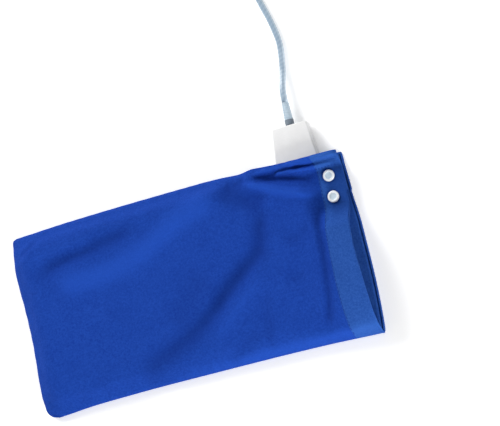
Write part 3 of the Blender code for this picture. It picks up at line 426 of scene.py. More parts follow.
@dataclass(frozen=True)
class Thread:
    """Twisted sewing thread or braided wire cover, twisted along the piece's own map, with painted shade in
    the twist's grooves.
    """

    name: str
    colour: Colour
    groove: Colour
    pitch: float = 0.0009
    fuzz: Grain = Grain(1500.0, 2.0, 0.6)
    light_shares: Place = (0.35, 0.5, 0.25)
    depth: float = 0.00006

    def material(self) -> Material:
        """Makes the finish."""
        shader = Shader(self.name, Roughness=0.85, Specular_IOR_Level=0.12)
        across, along, _ = shader.split(shader.layer(CLOTH_MAP))
        lay = ((along + 0.5 * across) * (math.tau / self.pitch)).math("SINE")
        fuzz = shader.noise(shader.place(), self.fuzz)
        by_lay, by_fuzz, always = self.light_shares
        light = by_lay * lay + by_fuzz * fuzz + always
        # The twist's grooves take the darker groove colour: painted shade
        shader.feed("Base Color", shader.blended(light, self.groove, self.colour))
        shader.bumped(lay, self.depth, 0.8)
        return shader.material


def finished(name: str, shape: Shape, material: Material) -> Piece:
    """Turns a bmesh into a smooth-shaded piece.

    Args:
        name: The piece's name.
        shape: Its mesh, which is freed.
        material: Its material.

    Returns:
        The new object, at the origin.
    """
    mesh = bpy.data.meshes.new(name)
    shape.to_mesh(mesh)
    shape.free()
    for face in mesh.polygons:
        face.use_smooth = True
    mesh.materials.append(material)
    item = bpy.data.objects.new(name, mesh)
    bpy.context.scene.collection.objects.link(item)
    return item


def thickened(item: Piece, depth: float, side: float) -> None:
    """Gives a sheet its thickness, on one side of it."""
    change = item.modifiers.new("thickness", "SOLIDIFY")
    change.thickness = depth
    change.offset = side
    change.use_even_offset = False


def carried(item: Piece, body: Body, slot: str, *nodes: str) -> None:
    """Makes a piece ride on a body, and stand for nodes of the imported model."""
    if "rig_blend" not in item:
        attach(item, body.value)
    if nodes:
        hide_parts(*nodes)
    triangles = sum(len(face.vertices) - 2 for face in item.data.polygons)
    LOG.info("%s: %d triangles on %s", item.name, triangles, body.value)


def creased(item: Piece, degrees: float = 35.0) -> Piece:
    """Keeps edges sharper than this angle crisp in an otherwise smooth piece."""
    item.data.set_sharp_from_angle(angle=math.radians(degrees))
    return item


def new_turned(profile: Sequence[Plan], steps: int, turn: Matrix) -> Shape:
    """A closed turned shape.

    Args:
        profile: Points as (radius, height) down its outer side, which starts and ends on the axis.
        steps: How many sides it has.
        turn: Where its axis stands.

    Returns:
        The shape, facing outwards.
    """
    shape = bmesh.new()
    points = [shape.verts.new((radius, 0.0, height)) for radius, height in profile]
    edges = [shape.edges.new(pair) for pair in zip(points, points[1:])]
    turned = {"cent": (0, 0, 0), "axis": (0, 0, 1), "angle": math.tau, "steps": steps}
    bmesh.ops.spin(shape, geom=points + edges, use_merge=True, **turned)
    bmesh.ops.remove_doubles(shape, verts=shape.verts, dist=WELD)
    bmesh.ops.recalc_face_normals(shape, faces=shape.faces)
    bmesh.ops.transform(shape, matrix=turn, verts=shape.verts)
    return shape


def new_block(size: Place, centre: Place, edge: float) -> Shape:
    """A box with rounded edges.

    Args:
        size: Its three sides.
        centre: Its middle.
        edge: The radius of its edges.

    Returns:
        The shape.
    """
    shape = bmesh.new()
    bmesh.ops.create_cube(shape, size=1.0)
    bmesh.ops.scale(shape, vec=size, verts=shape.verts)
    round_edge = {"affect": "EDGES", "segments": 4, "profile": 0.5, "material": -1}
    bmesh.ops.bevel(shape, geom=list(shape.edges), offset=edge, offset_type="OFFSET", **round_edge)
    bmesh.ops.translate(shape, vec=centre, verts=shape.verts)
    return shape


def joined(first: Shape, second: Shape) -> Shape:
    """Adds the second shape to the first and returns it."""
    mesh = bpy.data.meshes.new("joined")
    second.to_mesh(mesh)
    second.free()
    first.from_mesh(mesh)
    bpy.data.meshes.remove(mesh)
    return first


def new_grid(
    steps: tuple[int, int], placed: Callable[[float, float], Vector], mapped: Plan | None = None
) -> Shape:
    """A grid whose points are moved to where a function puts them.

    Args:
        steps: How many faces it has each way.
        placed: The place of the point at two shares from 0 to 1.
        mapped: The real lengths of its two sides, which its UV map then holds.

    Returns:
        The shape.
    """
    shape = bmesh.new()
    bmesh.ops.create_grid(shape, x_segments=steps[0], y_segments=steps[1], size=0.5)
    bmesh.ops.translate(shape, vec=(0.5, 0.5, 0.0), verts=shape.verts)
    if mapped:
        layer = shape.loops.layers.uv.new(CLOTH_MAP)
        for face in shape.faces:
            for loop in face.loops:
                loop[layer].uv = (loop.vert.co.x * mapped[0], loop.vert.co.y * mapped[1])
    for vert in shape.verts:
        vert.co = placed(vert.co.x, vert.co.y)
    return shape


class Line:
    """A centreline with a frame that doesn't twist along it."""

    def __init__(self, points: Sequence[Vector]) -> None:
        """Walks along the points once.

        Args:
            points: The line's points.
        """
        self.points = list(points)
        self.walked = [0.0]
        self.across: list[Vector] = []
        self.raised: list[Vector] = []
        raised = Vector((0.0, 0.0, 1.0))
        for number, point in enumerate(self.points):
            before = self.points[max(number - 1, 0)]
            after = self.points[min(number + 1, len(self.points) - 1)]
            heading = (after - before).normalized()
            raised = (raised - heading * raised.dot(heading)).normalized()
            self.across.append(heading.cross(raised))
            self.raised.append(raised.copy())
            if number:
                self.walked.append(self.walked[-1] + (point - before).length)

    @property
    def length(self) -> float:
        """The line's whole length."""
        return self.walked[-1]

    def off(self, number: int, angle: float, radius: float) -> Vector:
        """The place at an angle and radius round one of the points."""
        side = math.cos(angle) * self.across[number] + math.sin(angle) * self.raised[number]
        return self.points[number] + radius * side


def closed_tube(shape: Shape) -> Shape:
    """Joins the two edges of a grid that is bent into a tube, and fills the tube's ends."""
    bmesh.ops.remove_doubles(shape, verts=shape.verts, dist=WELD)
    bmesh.ops.holes_fill(shape, edges=[edge for edge in shape.edges if edge.is_boundary], sides=0)
    bmesh.ops.recalc_face_normals(shape, faces=shape.faces)
    return shape


def new_tube(line: Line, section: Callable[[float, float], float], sides: int) -> Shape:
    """A closed tube round a line, with a UV map of metres round it and along it.

    Args:
        line: Its centreline.
        section: The radius at an angle round it and a length along it.
        sides: How many sides it has.

    Returns:
        The shape.
    """
    last = len(line.points) - 1
    girth = math.tau * section(0.0, line.length / 2)

    def placed(around: float, along: float) -> Vector:
        """The place of one point of the tube's skin."""
        number = round(along * last)
        angle = math.tau * around
        return line.off(number, angle, section(angle, line.walked[number]))

    return closed_tube(new_grid((sides, last), placed, (girth, line.length)))


def eased(value: Field | float) -> Field:
    """A step from 0 to 1 that starts and ends level."""
    kept = np.clip(value, 0.0, 1.0)
    return kept * kept * (3 - 2 * kept)


def between(x: Field, knots: Sequence[Plan]) -> Field:
    """The value at x of a smooth line through (x, value) knots."""
    places, values = zip(*knots)
    count, reach = 64, 4
    coarse = np.linspace(places[0], places[-1], count)
    padded = np.pad(np.interp(coarse, places, values), reach, mode="edge")
    width = 2 * reach + 1
    softened = np.convolve(padded, np.ones(width) / width, mode="valid")
    return np.interp(x, coarse, softened)


def crossed(x: Field, y: Field, waves: tuple[Place, Place]) -> Field:
    """Two sine waves that cross, each given by its turns along X and along Y and its start."""
    return math.prod(np.sin(by_x * x + by_y * y + start) for by_x, by_y, start in waves)


@dataclass(frozen=True)
class Fold:
    """One soft ridge or valley along a line of places, seen from above."""

    route: tuple[Plan, ...]
    rise: float
    width: float
    fade: float = 0.25

    def line(self) -> Field:
        """The route with its corners rounded off."""
        points = np.array(self.route)
        cut = 0.25
        for _ in range(2 if len(points) > 2 else 0):
            near = (1 - cut) * points[:-1] + cut * points[1:]
            far = cut * points[:-1] + (1 - cut) * points[1:]
            inner = np.stack([near, far], axis=1).reshape(-1, 2)
            points = np.concatenate([points[:1], inner[1:-1], points[-1:]])
        return points

    def height(self, x: Field, y: Field) -> Field:
        """How much it raises each place."""
        line = self.line()
        lengths = np.hypot(*np.diff(line, axis=0).T)
        total = lengths.sum()
        nearest = np.full(np.shape(x), np.inf)
        along = np.zeros(np.shape(x))
        walked = 0.0
        for (ax, ay), (bx, by), length in zip(line, line[1:], lengths):
            share = np.clip(((x - ax) * (bx - ax) + (y - ay) * (by - ay)) / length**2, 0.0, 1.0)
            away = np.hypot(x - ax - share * (bx - ax), y - ay - share * (by - ay))
            closer = away < nearest
            nearest = np.where(closer, away, nearest)
            along = np.where(closer, (walked + share * length) / total, along)
            walked += length
        ends = eased(along / self.fade) * eased((1 - along) / self.fade)
        return self.rise * ends * np.exp(-((nearest / self.width) ** 2))


@dataclass(frozen=True)
class CoverForm:
    """The bag's shape: its outline seen from above and the heights of its two panels."""

    half_length: float = 0.165
    half_width: float = 0.0865
    cloth: float = 0.0016
    hem_cloth: float = 0.0012
    gap: float = 0.0003
    corner: float = 0.010
    slit_corner: float = 0.0045
    corner_spread: float = 0.060
    room: float = 0.0040
    room_share: float = 0.50
    room_end: Plan = (0.086, 0.030)
    room_flap: Plan = (0.105, 0.035)
    mouth_bow: float = 0.004
    front_bow: float = 0.0015
    band: float = 0.026
    band_step: float = 0.0007
    band_edge: float = 0.0016
    side_run: float = 0.024
    side_bulge: float = 0.86
    lip: float = 0.0017
    slit_start: float = 0.060
    slit_run: float = 0.022
    slit_share: float = 0.97
    slit_hem: float = 0.0112
    closed_crown: float = 0.0150
    middle_crown: float = 0.0165
    mouth_crown: float = 0.034
    mouth_run: float = 0.085
    crown_middle: float = -0.025
    crown_spread: float = 0.060
    back_curl: float = 0.0032
    snap_x: float = 0.1493
    snap_ys: Plan = (0.0660, 0.0461)
    snap_margin: float = 0.007
    snap_falls: Place = (0.022, 0.010, 0.024)
    back_lift: float = 0.0019
    front_at_snap: float = 0.0111
    fold_sum: float = 0.160
    fold_gain: float = 1.4
    # The cloth's fine waves, and the gathers along X and Y as (turns, sway, turns of the sway)
    uneven_waves: tuple[Place, Place] = ((61, 40, 1.0), (-24, 83, 2.0))
    uneven_rise: float = 0.0007
    fine_waves: tuple[Place, Place] = ((190, -110, 0.0), (70, 170, 0.7))
    fine_rise: float = 0.00022
    gathers: tuple[Place, Place] = ((430, 2.2, 57), (390, 1.7, 71))
    gather_rise: float = 0.00028
    gather_run: float = 0.009
    # How far each side of the shown outline lies from the flat bag's, as (place along the side, shift)
    top_shift: tuple[Plan, ...] = (
        (-0.165, 0.001), (-0.120, 0.0035), (-0.060, 0.0048), (0.000, 0.0054), (0.048, 0.0056),
        (0.085, 0.0014), (0.120, -0.0012), (0.165, -0.0010),
    )
    closed_shift: tuple[Plan, ...] = (
        (-0.0865, -0.0035), (-0.0743, -0.0058), (-0.0617, -0.0070), (-0.0435, -0.0062), (-0.0129, -0.0048),
        (0.0195, -0.0057), (0.0373, -0.0071), (0.0560, -0.0084), (0.0683, -0.0066), (0.0865, -0.0040),
    )
    bottom_shift: tuple[Plan, ...] = (
        (-0.165, -0.0010), (-0.133, 0.0022), (-0.060, 0.0040), (0.060, 0.0042), (0.120, 0.0035),
        (0.165, 0.0015),
    )
    mouth_shift: tuple[Plan, ...] = (
        (-0.0865, 0.0000), (-0.0500, -0.0010), (0.0000, -0.0030), (0.0500, -0.0035), (0.0865, -0.0032),
    )
    mouth_shift_run: float = 0.035
    # Each fold's line, its height, the width in which it falls away and the share of its soft ends
    folds: tuple[Fold, ...] = (
        Fold(((0.078, 0.0840), (0.103, 0.0838), (0.130, 0.0834), (0.163, 0.0832)), 0.0036, 0.0028, 0.12),
        Fold(((0.078, 0.0812), (0.103, 0.0806), (0.130, 0.0800), (0.163, 0.0795)), -0.0018, 0.0015, 0.12),
        Fold(((0.112, 0.0836), (0.140, 0.0832), (0.164, 0.0828)), 0.0030, 0.0024, 0.12),
        Fold(((0.118, 0.0800), (0.140, 0.0795), (0.162, 0.0788)), -0.0018, 0.0014, 0.12),
        Fold(((0.098, 0.0785), (0.123, 0.0765), (0.141, 0.0760), (0.158, 0.0758)), 0.0046, 0.0023, 0.16),
        Fold(
            ((0.066, 0.0790), (0.086, 0.0775), (0.104, 0.0745), (0.122, 0.0700), (0.140, 0.0670)),
            -0.0040, 0.0036, 0.16,
        ),
        Fold(
            ((0.066, 0.0800), (0.080, 0.0745), (0.097, 0.0655), (0.115, 0.0570), (0.131, 0.0540))
            + ((0.142, 0.0580),),
            0.0064, 0.0052, 0.16,
        ),
        Fold(((0.1425, 0.074), (0.1420, 0.056), (0.1400, 0.038), (0.1370, 0.020)), 0.0026, 0.0028),
        Fold(
            ((0.1345, 0.046), (0.1330, 0.022), (0.1335, 0.000), (0.1310, -0.028), (0.1260, -0.054))
            + ((0.1160, -0.078),),
            -0.0034, 0.0042, 0.18,
        ),
        Fold(((0.040, 0.077), (0.062, 0.068), (0.080, 0.060), (0.090, 0.053)), -0.0036, 0.0090),
        Fold(
            ((0.088, 0.056), (0.080, 0.043), (0.077, 0.027), (0.068, 0.009), (0.049, -0.004), (0.032, -0.015))
            + ((0.022, -0.026), (0.012, -0.039)),
            -0.0048, 0.0100, 0.20,
        ),
        Fold(
            ((0.030, -0.020), (0.006, -0.038), (-0.024, -0.052), (-0.050, -0.062), (-0.074, -0.073)),
            -0.0042, 0.0095,
        ),
        Fold(((-0.075, -0.0790), (0.020, -0.0780), (0.100, -0.0775), (0.260, -0.0790)), 0.0032, 0.0062, 0.36),
        Fold(((0.022, 0.012), (-0.006, -0.012), (-0.028, -0.038)), -0.0020, 0.0150),
        Fold(
            ((0.078, 0.014), (0.061, -0.012), (0.041, -0.029), (0.024, -0.047), (0.006, -0.062)),
            0.0026, 0.0100,
        ),
        Fold(
            ((0.050, 0.073), (0.020, 0.067), (-0.008, 0.056), (-0.034, 0.041), (-0.064, 0.032))
            + ((-0.097, 0.029), (-0.137, 0.030)),
            0.0040, 0.0125, 0.14,
        ),
        Fold(
            ((-0.030, 0.067), (-0.068, 0.0600), (-0.097, 0.0560), (-0.127, 0.0500), (-0.158, 0.041)),
            -0.0034, 0.0075,
        ),
        Fold(((-0.080, 0.0660), (-0.128, 0.0635), (-0.158, 0.0580)), 0.0016, 0.0060),
        Fold(((-0.1640, 0.0650), (-0.1560, 0.0700), (-0.1380, 0.0800)), -0.0016, 0.0030),
        Fold(((0.092, 0.046), (0.082, 0.026), (0.081, 0.008)), 0.0016, 0.0060),
        Fold(((0.069, -0.020), (0.066, -0.054), (0.061, -0.078)), -0.0016, 0.0050),
        Fold(((0.062, -0.058), (0.036, -0.068), (0.016, -0.076)), -0.0014, 0.0060),
        Fold(((0.094, 0.020), (0.110, 0.016), (0.128, 0.024)), -0.0014, 0.0060),
        Fold(((0.090, -0.016), (0.113, -0.019)), -0.0012, 0.0060),
        Fold(((0.050, 0.083), (0.062, 0.079), (0.072, 0.083)), -0.0022, 0.0050),
    )

    def inset(self, y: Field) -> Field:
        """How far the closed end is drawn in at y by its round corners."""
        corner = np.where(y > 0, self.slit_corner, self.corner)
        over = np.maximum(0.0, np.abs(y) - (self.half_width - corner))
        return corner - np.sqrt(np.maximum(0.0, corner**2 - over**2))

    def plan(self, x: Field, y: Field, front: bool) -> tuple[Field, Field]:
        """Where a place of the flat bag lies, seen from above."""
        rim = np.clip(np.abs(y) / self.half_width, 0.0, 1.0)
        closed = 1 - eased((x + self.half_length) / self.corner_spread)
        rounded = (self.inset(y) + between(y, self.closed_shift)) * closed
        bow = self.front_bow if front else self.mouth_bow
        mouth = bow * (1 - rim**2) * eased((x - self.half_length + self.band) / self.band)
        near_mouth = eased((x - self.half_length) / self.mouth_shift_run + 1)
        mouth = mouth + between(y, self.mouth_shift) * near_mouth
        share = (y + self.half_width) / (2 * self.half_width)
        low, high = between(x, self.bottom_shift), between(x, self.top_shift)
        return x + rounded + mouth, y + low + (high - low) * share

    def hold(self, x: Field, y: Field) -> Field:
        """How much the snaps hold the two panels together, from 0 to 1."""
        closed_fall, slit_fall, mitt_fall = self.snap_falls
        near = np.maximum(0.0, self.snap_x - self.snap_margin - x) / closed_fall
        over = np.maximum(0.0, y - self.snap_ys[0] - self.snap_margin) / slit_fall
        under = np.maximum(0.0, self.snap_ys[1] - self.snap_margin - y) / mitt_fall
        return 1 - eased(np.sqrt(near**2 + over**2 + under**2))

    def side(self, depth: Field) -> Field:
        """The rise of a sewn side at a depth from its edge, from 0 to 1."""
        kept = np.clip(1 - depth / self.side_run, 0.0, 1.0)
        return (1 - kept**2) ** self.side_bulge

    def opened(self, x: Field) -> Field:
        """How far the slit lets its side stand up at x."""
        return self.slit_share * eased((x - self.slit_start) / self.slit_run)

    def sides(self, x: Field, y: Field) -> Field:
        """The rise from all the sides together, from 0 to 1."""
        slit = 1 - (1 - self.side(self.half_width - y)) * (1 - self.opened(x))
        closed = self.side(x + self.half_length - self.inset(y))
        return slit * closed * self.side(self.half_width + y)

    def puffed(self, x: Field, y: Field) -> Field:
        """How far the cover stands off its liner where it lies in folds."""
        sides = self.side(self.half_width - np.abs(y)) * self.side(x + self.half_length - self.inset(y))
        body = eased((sides - self.room_share) / (1 - self.room_share))
        cuff = eased((x - self.room_end[0]) / self.room_end[1])
        flap = eased((x + y - self.room_flap[0]) / self.room_flap[1])
        return self.room * body * (1 - cuff) * (1 - flap)

    def creases(self, x: Field, y: Field) -> Field:
        """The folds' height, with fine unevenness of the cloth."""
        px, py = self.plan(x, y, True)
        total = sum(fold.height(px, py) for fold in self.folds)
        uneven = self.uneven_rise * crossed(px, py, self.uneven_waves)
        return total + uneven + self.fine_rise * crossed(px, py, self.fine_waves)

    def puckers(self, x: Field, y: Field) -> Field:
        """Small gathers that run in from the sewn sides."""
        in_from_side = np.minimum(self.half_width - np.abs(y), x + self.half_length)
        pairs = zip((x, y), self.gathers)
        waves = sum(np.sin(turns * way + sway * np.sin(slow * way)) for way, (turns, sway, slow) in pairs)
        return self.gather_rise * waves * np.exp(-((in_from_side / self.gather_run) ** 2))

    def front(self, x: Field, y: Field) -> Field:
        """The front panel's outer surface."""
        along = eased((x + self.half_length) / (2 * self.half_length))
        low = self.closed_crown + (self.middle_crown - self.closed_crown) * along
        rise = eased((x - self.half_length + self.mouth_run) / self.mouth_run)
        across = np.exp(-(((y - self.crown_middle) / self.crown_spread) ** 2))
        crown = low + (self.mouth_crown - low) * rise * across
        sides, hold = self.sides(x, y), self.hold(x, y)
        floor = self.cloth + self.gap
        creases = self.creases(x, y) * np.minimum(1.0, self.fold_gain * sides)
        free = floor + crown * sides + creases + self.puffed(x, y)
        in_band = eased((x - self.half_length + self.band) / self.band_edge + 0.5)
        under = free * (1 - hold) + self.front_at_snap * hold
        step = self.band_step * in_band * (1 - hold)
        return under + self.cloth + step + self.lip * (1 - sides) + self.puckers(x, y)

    def back(self, x: Field, y: Field) -> Field:
        """The back panel's outer surface, which the mitt lies on."""
        reach = np.minimum(self.half_width + y, x + self.half_length - self.inset(y))
        shut = 1 - self.opened(x)
        reach = np.minimum(reach, self.half_width - y + self.back_curl * (1 - shut))
        kept = np.clip(1 - reach / self.back_curl, 0.0, 1.0)
        curl = self.back_curl * (1 - np.sqrt(1 - kept**2))
        return curl + self.back_lift * self.hold(x, y)


class Panel(Enum):
    """The two panels of the bag."""

    FRONT = "front"
    BACK = "back"


def rolled(shape: Shape, radius: float, turns: Callable[[Point], Plan], up: float) -> None:
    """Rolls a sheet's free edges over and in.

    Args:
        shape: The sheet.
        radius: The roll's radius.
        turns: The angles at which a rim point's roll starts and ends.
        up: 1 for a sheet whose edges roll up, and -1 for down.
    """
    steps = 5
    edges = [edge for edge in shape.edges if edge.is_boundary]
    rim = {vert for edge in edges for vert in edge.verts}
    start: dict[Point, tuple[Vector, Vector, Plan]] = {}
    for vert in rim:
        ends = [edge.other_vert(vert) for edge in vert.link_edges if edge.is_boundary]
        along = ends[0].co - ends[1].co
        outward = Vector((along.y, -along.x, 0.0)).normalized()
        middle = sum((face.calc_center_median() for face in vert.link_faces), Vector())
        if outward.dot(vert.co - middle / len(vert.link_faces)) < 0:
            outward.negate()
        start[vert] = (vert.co.copy(), outward, turns(vert))
    for step in range(1, steps + 1):
        made = bmesh.ops.extrude_edge_only(shape, edges=edges)["geom"]
        edges = [part for part in made if isinstance(part, bmesh.types.BMEdge) and part.is_boundary]
        carried_on = {}
        for vert in {vert for edge in edges for vert in edge.verts}:
            source = next(edge.other_vert(vert) for edge in vert.link_edges if edge.other_vert(vert) in start)
            place, outward, (low, high) = start[source]
            angle = mixed(low, high, step / steps)
            out = math.sin(angle) - math.sin(low)
            rise = math.cos(low) - math.cos(angle)
            vert.co = place + radius * (out * outward + Vector((0.0, 0.0, up * rise)))
            carried_on[vert] = start[source]
        start = carried_on


@dataclass(frozen=True)
class Bag:
    """The cover: two panels rolled in at their edges, hems, stitching and the seam inside."""

    form: CoverForm
    knit: Material
    band_knit: Material
    thread: Material
    steps: tuple[int, int] = (220, 116)
    # The rolled edge's radius, and its first and last angle in degrees where it is sewn and where free
    roll: float = 0.0016
    sewn_turn: Plan = (80.0, 175.0)
    free_turn: Plan = (10.0, 185.0)
    slit_side: float = 0.05
    mouth_edge: Plan = (0.1635, 0.002)
    hem_face: float = 0.002
    hem_ends: Plan = (0.004, 0.001)
    # The heights and the swell of a stitch from end to end are shares of its thread's radius
    stitch: float = 0.0027
    stitch_gap: float = 0.0008
    thread_radius: float = 0.00028
    stitch_heights: tuple[float, ...] = (-0.9, 0.45, 0.7, 0.45, -0.9)
    stitch_swell: tuple[float, ...] = (0.45, 0.95, 1.0, 0.95, 0.45)
    stitch_floor: float = 1.1
    stitch_from_band: float = 0.0012
    stitch_ends: Plan = (0.003, 0.002)
    seam_cloth: float = 0.0010
    seam_depth: float = 0.006
    seam_inset: float = 0.002
    seam_start: float = 0.004
    seam_step: float = 0.004
    # The cuff corner's bend: its width, and how far along its fold line and how high it is measured
    fold_blend: float = 0.005
    fold_point: Plan = (0.04, 0.02)
    # The depth of a fold at full painted shade, the painted shade on the cloth that the snaps press down, and
    # the painted shadow ring round each cap, as (radius, width)
    deep_fold: float = 0.009
    snap_shade: float = 0.6
    snap_shade_above: Plan = (0.012, 0.006)
    snap_shade_before: Plan = (0.006, 0.005)
    cap_shade: Plan = (0.0062, 0.0014)

    def sheet(
        self, spans: Spans, steps: tuple[int, int], height: Callable[[Field, Field], Field], front: bool
    ) -> Shape:
        """A grid laid over part of the flat bag.

        Args:
            spans: Its range along X and along Y.
            steps: Its faces each way.
            height: Its height at places of the flat bag.
            front: Whether it follows the front panel's outline.

        Returns:
            The shape.
        """
        (x0, x1), (y0, y1) = spans
        shape = new_grid(steps, lambda u, v: Vector((mixed(x0, x1, u), mixed(y0, y1, v), 0.0)))
        x, y = np.array([vert.co[:2] for vert in shape.verts]).T
        px, py = self.form.plan(x, y, front)
        for vert, place in zip(shape.verts, np.stack([px, py, height(x, y)], axis=1)):
            vert.co = place
        return shape

    def shaded(self, item: Piece) -> None:
        """Gives a piece its layer of painted shade: darker the deeper a point lies in a fold, lighter on a
        crest, and darker near the snaps and in a ring round each cap.
        """
        places = np.empty(len(item.data.vertices) * 3)
        item.data.vertices.foreach_get("co", places)
        x, y, _ = places.reshape(-1, 3).T
        form = self.form
        depth = sum(-fold.height(x, y) for fold in form.folds) / self.deep_fold
        (above, fade), (before, run) = self.snap_shade_above, self.snap_shade_before
        near_snaps = eased((x - form.snap_x + before) / run) * eased((form.snap_ys[0] + above - y) / fade)
        # Painted shade where the snaps hold the cloth down, and a painted shadow ring round each cap
        shade = self.snap_shade * form.hold(x, y) * near_snaps
        ring, width = self.cap_shade
        for snap_y in form.snap_ys:
            away = np.hypot(x - form.snap_x, y - snap_y)
            shade = np.maximum(shade, np.exp(-(((away - ring) / width) ** 2)))
        layer = item.data.attributes.new(FOLD_SHADE, "FLOAT", "POINT")
        layer.data.foreach_set("value", np.clip(depth + shade, -RIDGE_SHADE, VALLEY_SHADE))

    def across_fold(self, item: Piece) -> None:
        """Lets a piece bend along the cuff corner's fold line."""
        half = self.form.fold_sum / 2
        shift = self.fold_blend / math.sqrt(2)
        along, height = self.fold_point
        low = (half - shift + along, half - shift - along, height)
        high = (half + shift + along, half + shift - along, height)
        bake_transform(item, Body.MITT.value, Body.FLAP.value, start=low, end=high)

    def rim_turn(self, vert: Point) -> Plan:
        """The roll's first and last angle at a rim point: upright at a sewn side, flat at a free edge."""
        x, y = vert.co.x, vert.co.y
        free_slit = float(self.form.opened(np.array(x))) if y > self.slit_side else 0.0
        mouth, run = self.mouth_edge
        free = max(free_slit, float(eased(np.array((x - mouth) / run))))
        first, last = (mixed(sewn, loose, free) for sewn, loose in zip(self.sewn_turn, self.free_turn))
        return math.radians(first), math.radians(last)

    def panel(self, panel: Panel, rests_on: str, *nodes: str) -> None:
        """One of the two panels, with the cuff's lighter band. The front one's cuff corner folds open.

        Args:
            panel: Which one.
            rests_on: What it lies on; not used.
            nodes: The nodes that it stands for.
        """
        form = self.form
        front = panel is Panel.FRONT
        length, width = form.half_length, form.half_width
        height = form.front if front else form.back
        shape = self.sheet(((-length, length), (-width, width)), self.steps, height, front)
        if not front:
            bmesh.ops.reverse_faces(shape, faces=shape.faces)
        rolled(shape, self.roll, self.rim_turn, -1.0 if front else 1.0)
        item = finished(f"{panel.value}_panel_knit", shape, self.knit)
        item.data.materials.append(self.band_knit)
        self.shaded(item)
        for face in item.data.polygons:
            if face.center.x > length - form.band:
                face.material_index = 1
        thickened(item, form.cloth, -1.0)
        if front:
            self.across_fold(item)
        carried(item, Body.MITT, "knit", *nodes)

    def hem(self, name: str, spans: Spans, panel: Panel, slot: str, *nodes: str) -> None:
        """A hem turned in under a panel.

        Args:
            name: The piece's name.
            spans: Its range along X and along Y on the flat bag.
            panel: The panel that it is turned in from.
            slot: Its material slot.
            nodes: The nodes that it stands for.
        """
        form = self.form
        front = panel is Panel.FRONT
        inner = form.cloth + form.gap

        def height(x: Field, y: Field) -> Field:
            """The side of the hem that faces its panel."""
            return form.front(x, y) - inner - form.band_step if front else form.back(x, y) + inner

        (x0, x1), (y0, y1) = spans
        steps = (max(4, round((x1 - x0) / self.hem_face)), max(4, round((y1 - y0) / self.hem_face)))
        shape = self.sheet(spans, steps, height, front)
        if front:
            bmesh.ops.reverse_faces(shape, faces=shape.faces)
        item = finished(name, shape, self.band_knit if slot == "cuff_band" else self.knit)
        self.shaded(item)
        thickened(item, form.hem_cloth, 1.0)
        if front:
            self.across_fold(item)
        carried(item, Body.MITT, slot, *nodes)
        x1 - x0
        y1 - y0

    def hems(self) -> None:
        """The hems of the cuff and the slit on both panels."""
        form = self.form
        length, width = form.half_length, form.half_width
        mitt_end, slit_end = self.hem_ends
        cuff = (length - form.band, length - self.roll)
        across = (mitt_end - width, width - slit_end)
        slit = (form.slit_start + form.slit_run / 2, cuff[0] - form.gap)
        strip = (width - form.slit_hem, width - slit_end)
        self.hem(
            "cuff_hem_front_knit", (cuff, across), Panel.FRONT, "cuff_band", "cuff_hem_front", "cuff_hem_flap"
        )
        self.hem("cuff_hem_back_knit", (cuff, across), Panel.BACK, "cuff_band", "cuff_hem_back")
        self.hem("slit_hem_front_knit", (slit, strip), Panel.FRONT, "knit", "slit_hem_flap")
        self.hem("slit_hem_back_knit", (slit, strip), Panel.BACK, "knit", "slit_hem_back")

    def stitches(self, name: str, line: Sequence[Plan], panel: Panel, *nodes: str) -> None:
        """A row of stitches along a line of the flat bag.

        Args:
            name: The piece's name.
            line: The line's two ends.
            panel: The panel that it runs on.
            nodes: The nodes that it stands for.
        """
        form = self.form
        front = panel is Panel.FRONT
        (ax, ay), (bx, by) = line
        length = math.hypot(bx - ax, by - ay)
        pitch = self.stitch + self.stitch_gap
        radius = self.thread_radius
        lifts = np.array(self.stitch_heights) * radius
        parts = np.arange(len(lifts)) / (len(lifts) - 1)
        shape = bmesh.new()
        shape.loops.layers.uv.new(CLOTH_MAP)
        for number in range(int(length / pitch)):
            shares = (number * pitch + self.stitch * parts) / length
            x, y = mixed(ax, bx, shares), mixed(ay, by, shares)
            px, py = form.plan(x, y, front)
            z = form.front(x, y) + lifts if front else form.back(x, y) - lifts
            if not front:
                z = np.maximum(z, radius * self.stitch_floor)
            thread = Line([Vector(place) for place in zip(px, py, z)])

            def section(_: float, along: float) -> float:
                """The thread's radius, which narrows where it enters the cloth."""
                return radius * float(np.interp(along, thread.walked, self.stitch_swell))

            shape = joined(shape, new_tube(thread, section, 6))
        item = finished(name, shape, self.thread)
        if front:
            self.across_fold(item)
        carried(item, Body.MITT, "thread", *nodes)

    def stitching(self) -> None:
        """The stitches of the cuff and the slit."""
        form = self.form
        cuff = form.half_length - form.band + self.stitch_from_band
        slit = form.half_width - form.slit_hem
        side_end, mouth_end = self.stitch_ends
        across = ((cuff, side_end - form.half_width), (cuff, form.half_width - side_end))
        along = ((form.slit_start + form.slit_run, slit), (form.half_length - mouth_end, slit))
        nodes = ("cuff_stitching_front", "cuff_stitching_flap")
        self.stitches("cuff_stitches_front", across, Panel.FRONT, *nodes)
        self.stitches("cuff_stitches_back", across, Panel.BACK)
        self.stitches("slit_stitches_front", along, Panel.FRONT)
        self.stitches("slit_stitches_back", along, Panel.BACK)

    def seam(self) -> None:
        """The seam allowance that stands inward from the three sewn sides."""
        form = self.form
        level = 2 * self.roll
        corners = 12
        turn_in = form.half_width - form.corner
        places = [(form.half_length - self.seam_start, -form.half_width)]
        places.append((-form.half_length + form.corner, -form.half_width))
        for step in range(1, corners):
            angle = math.pi / 2 * step / corners
            x = -form.half_length + form.corner * (1 - math.sin(angle))
            places.append((x, -turn_in - form.corner * math.cos(angle)))
        places += [(x, -y) for x, y in reversed(places[1:])]
        places.append((form.slit_start, form.half_width))
        line = Line([Vector((x, y, level)) for x, y in places])
        bow = Line([Vector((*self.bowed(point), level)) for point in self.finely(line)])
        last = len(bow.points) - 1

        def placed(along: float, inward: float) -> Vector:
            """One point of the strip."""
            number = round(along * last)
            return bow.points[number] + bow.across[number] * (self.seam_inset + self.seam_depth * inward)

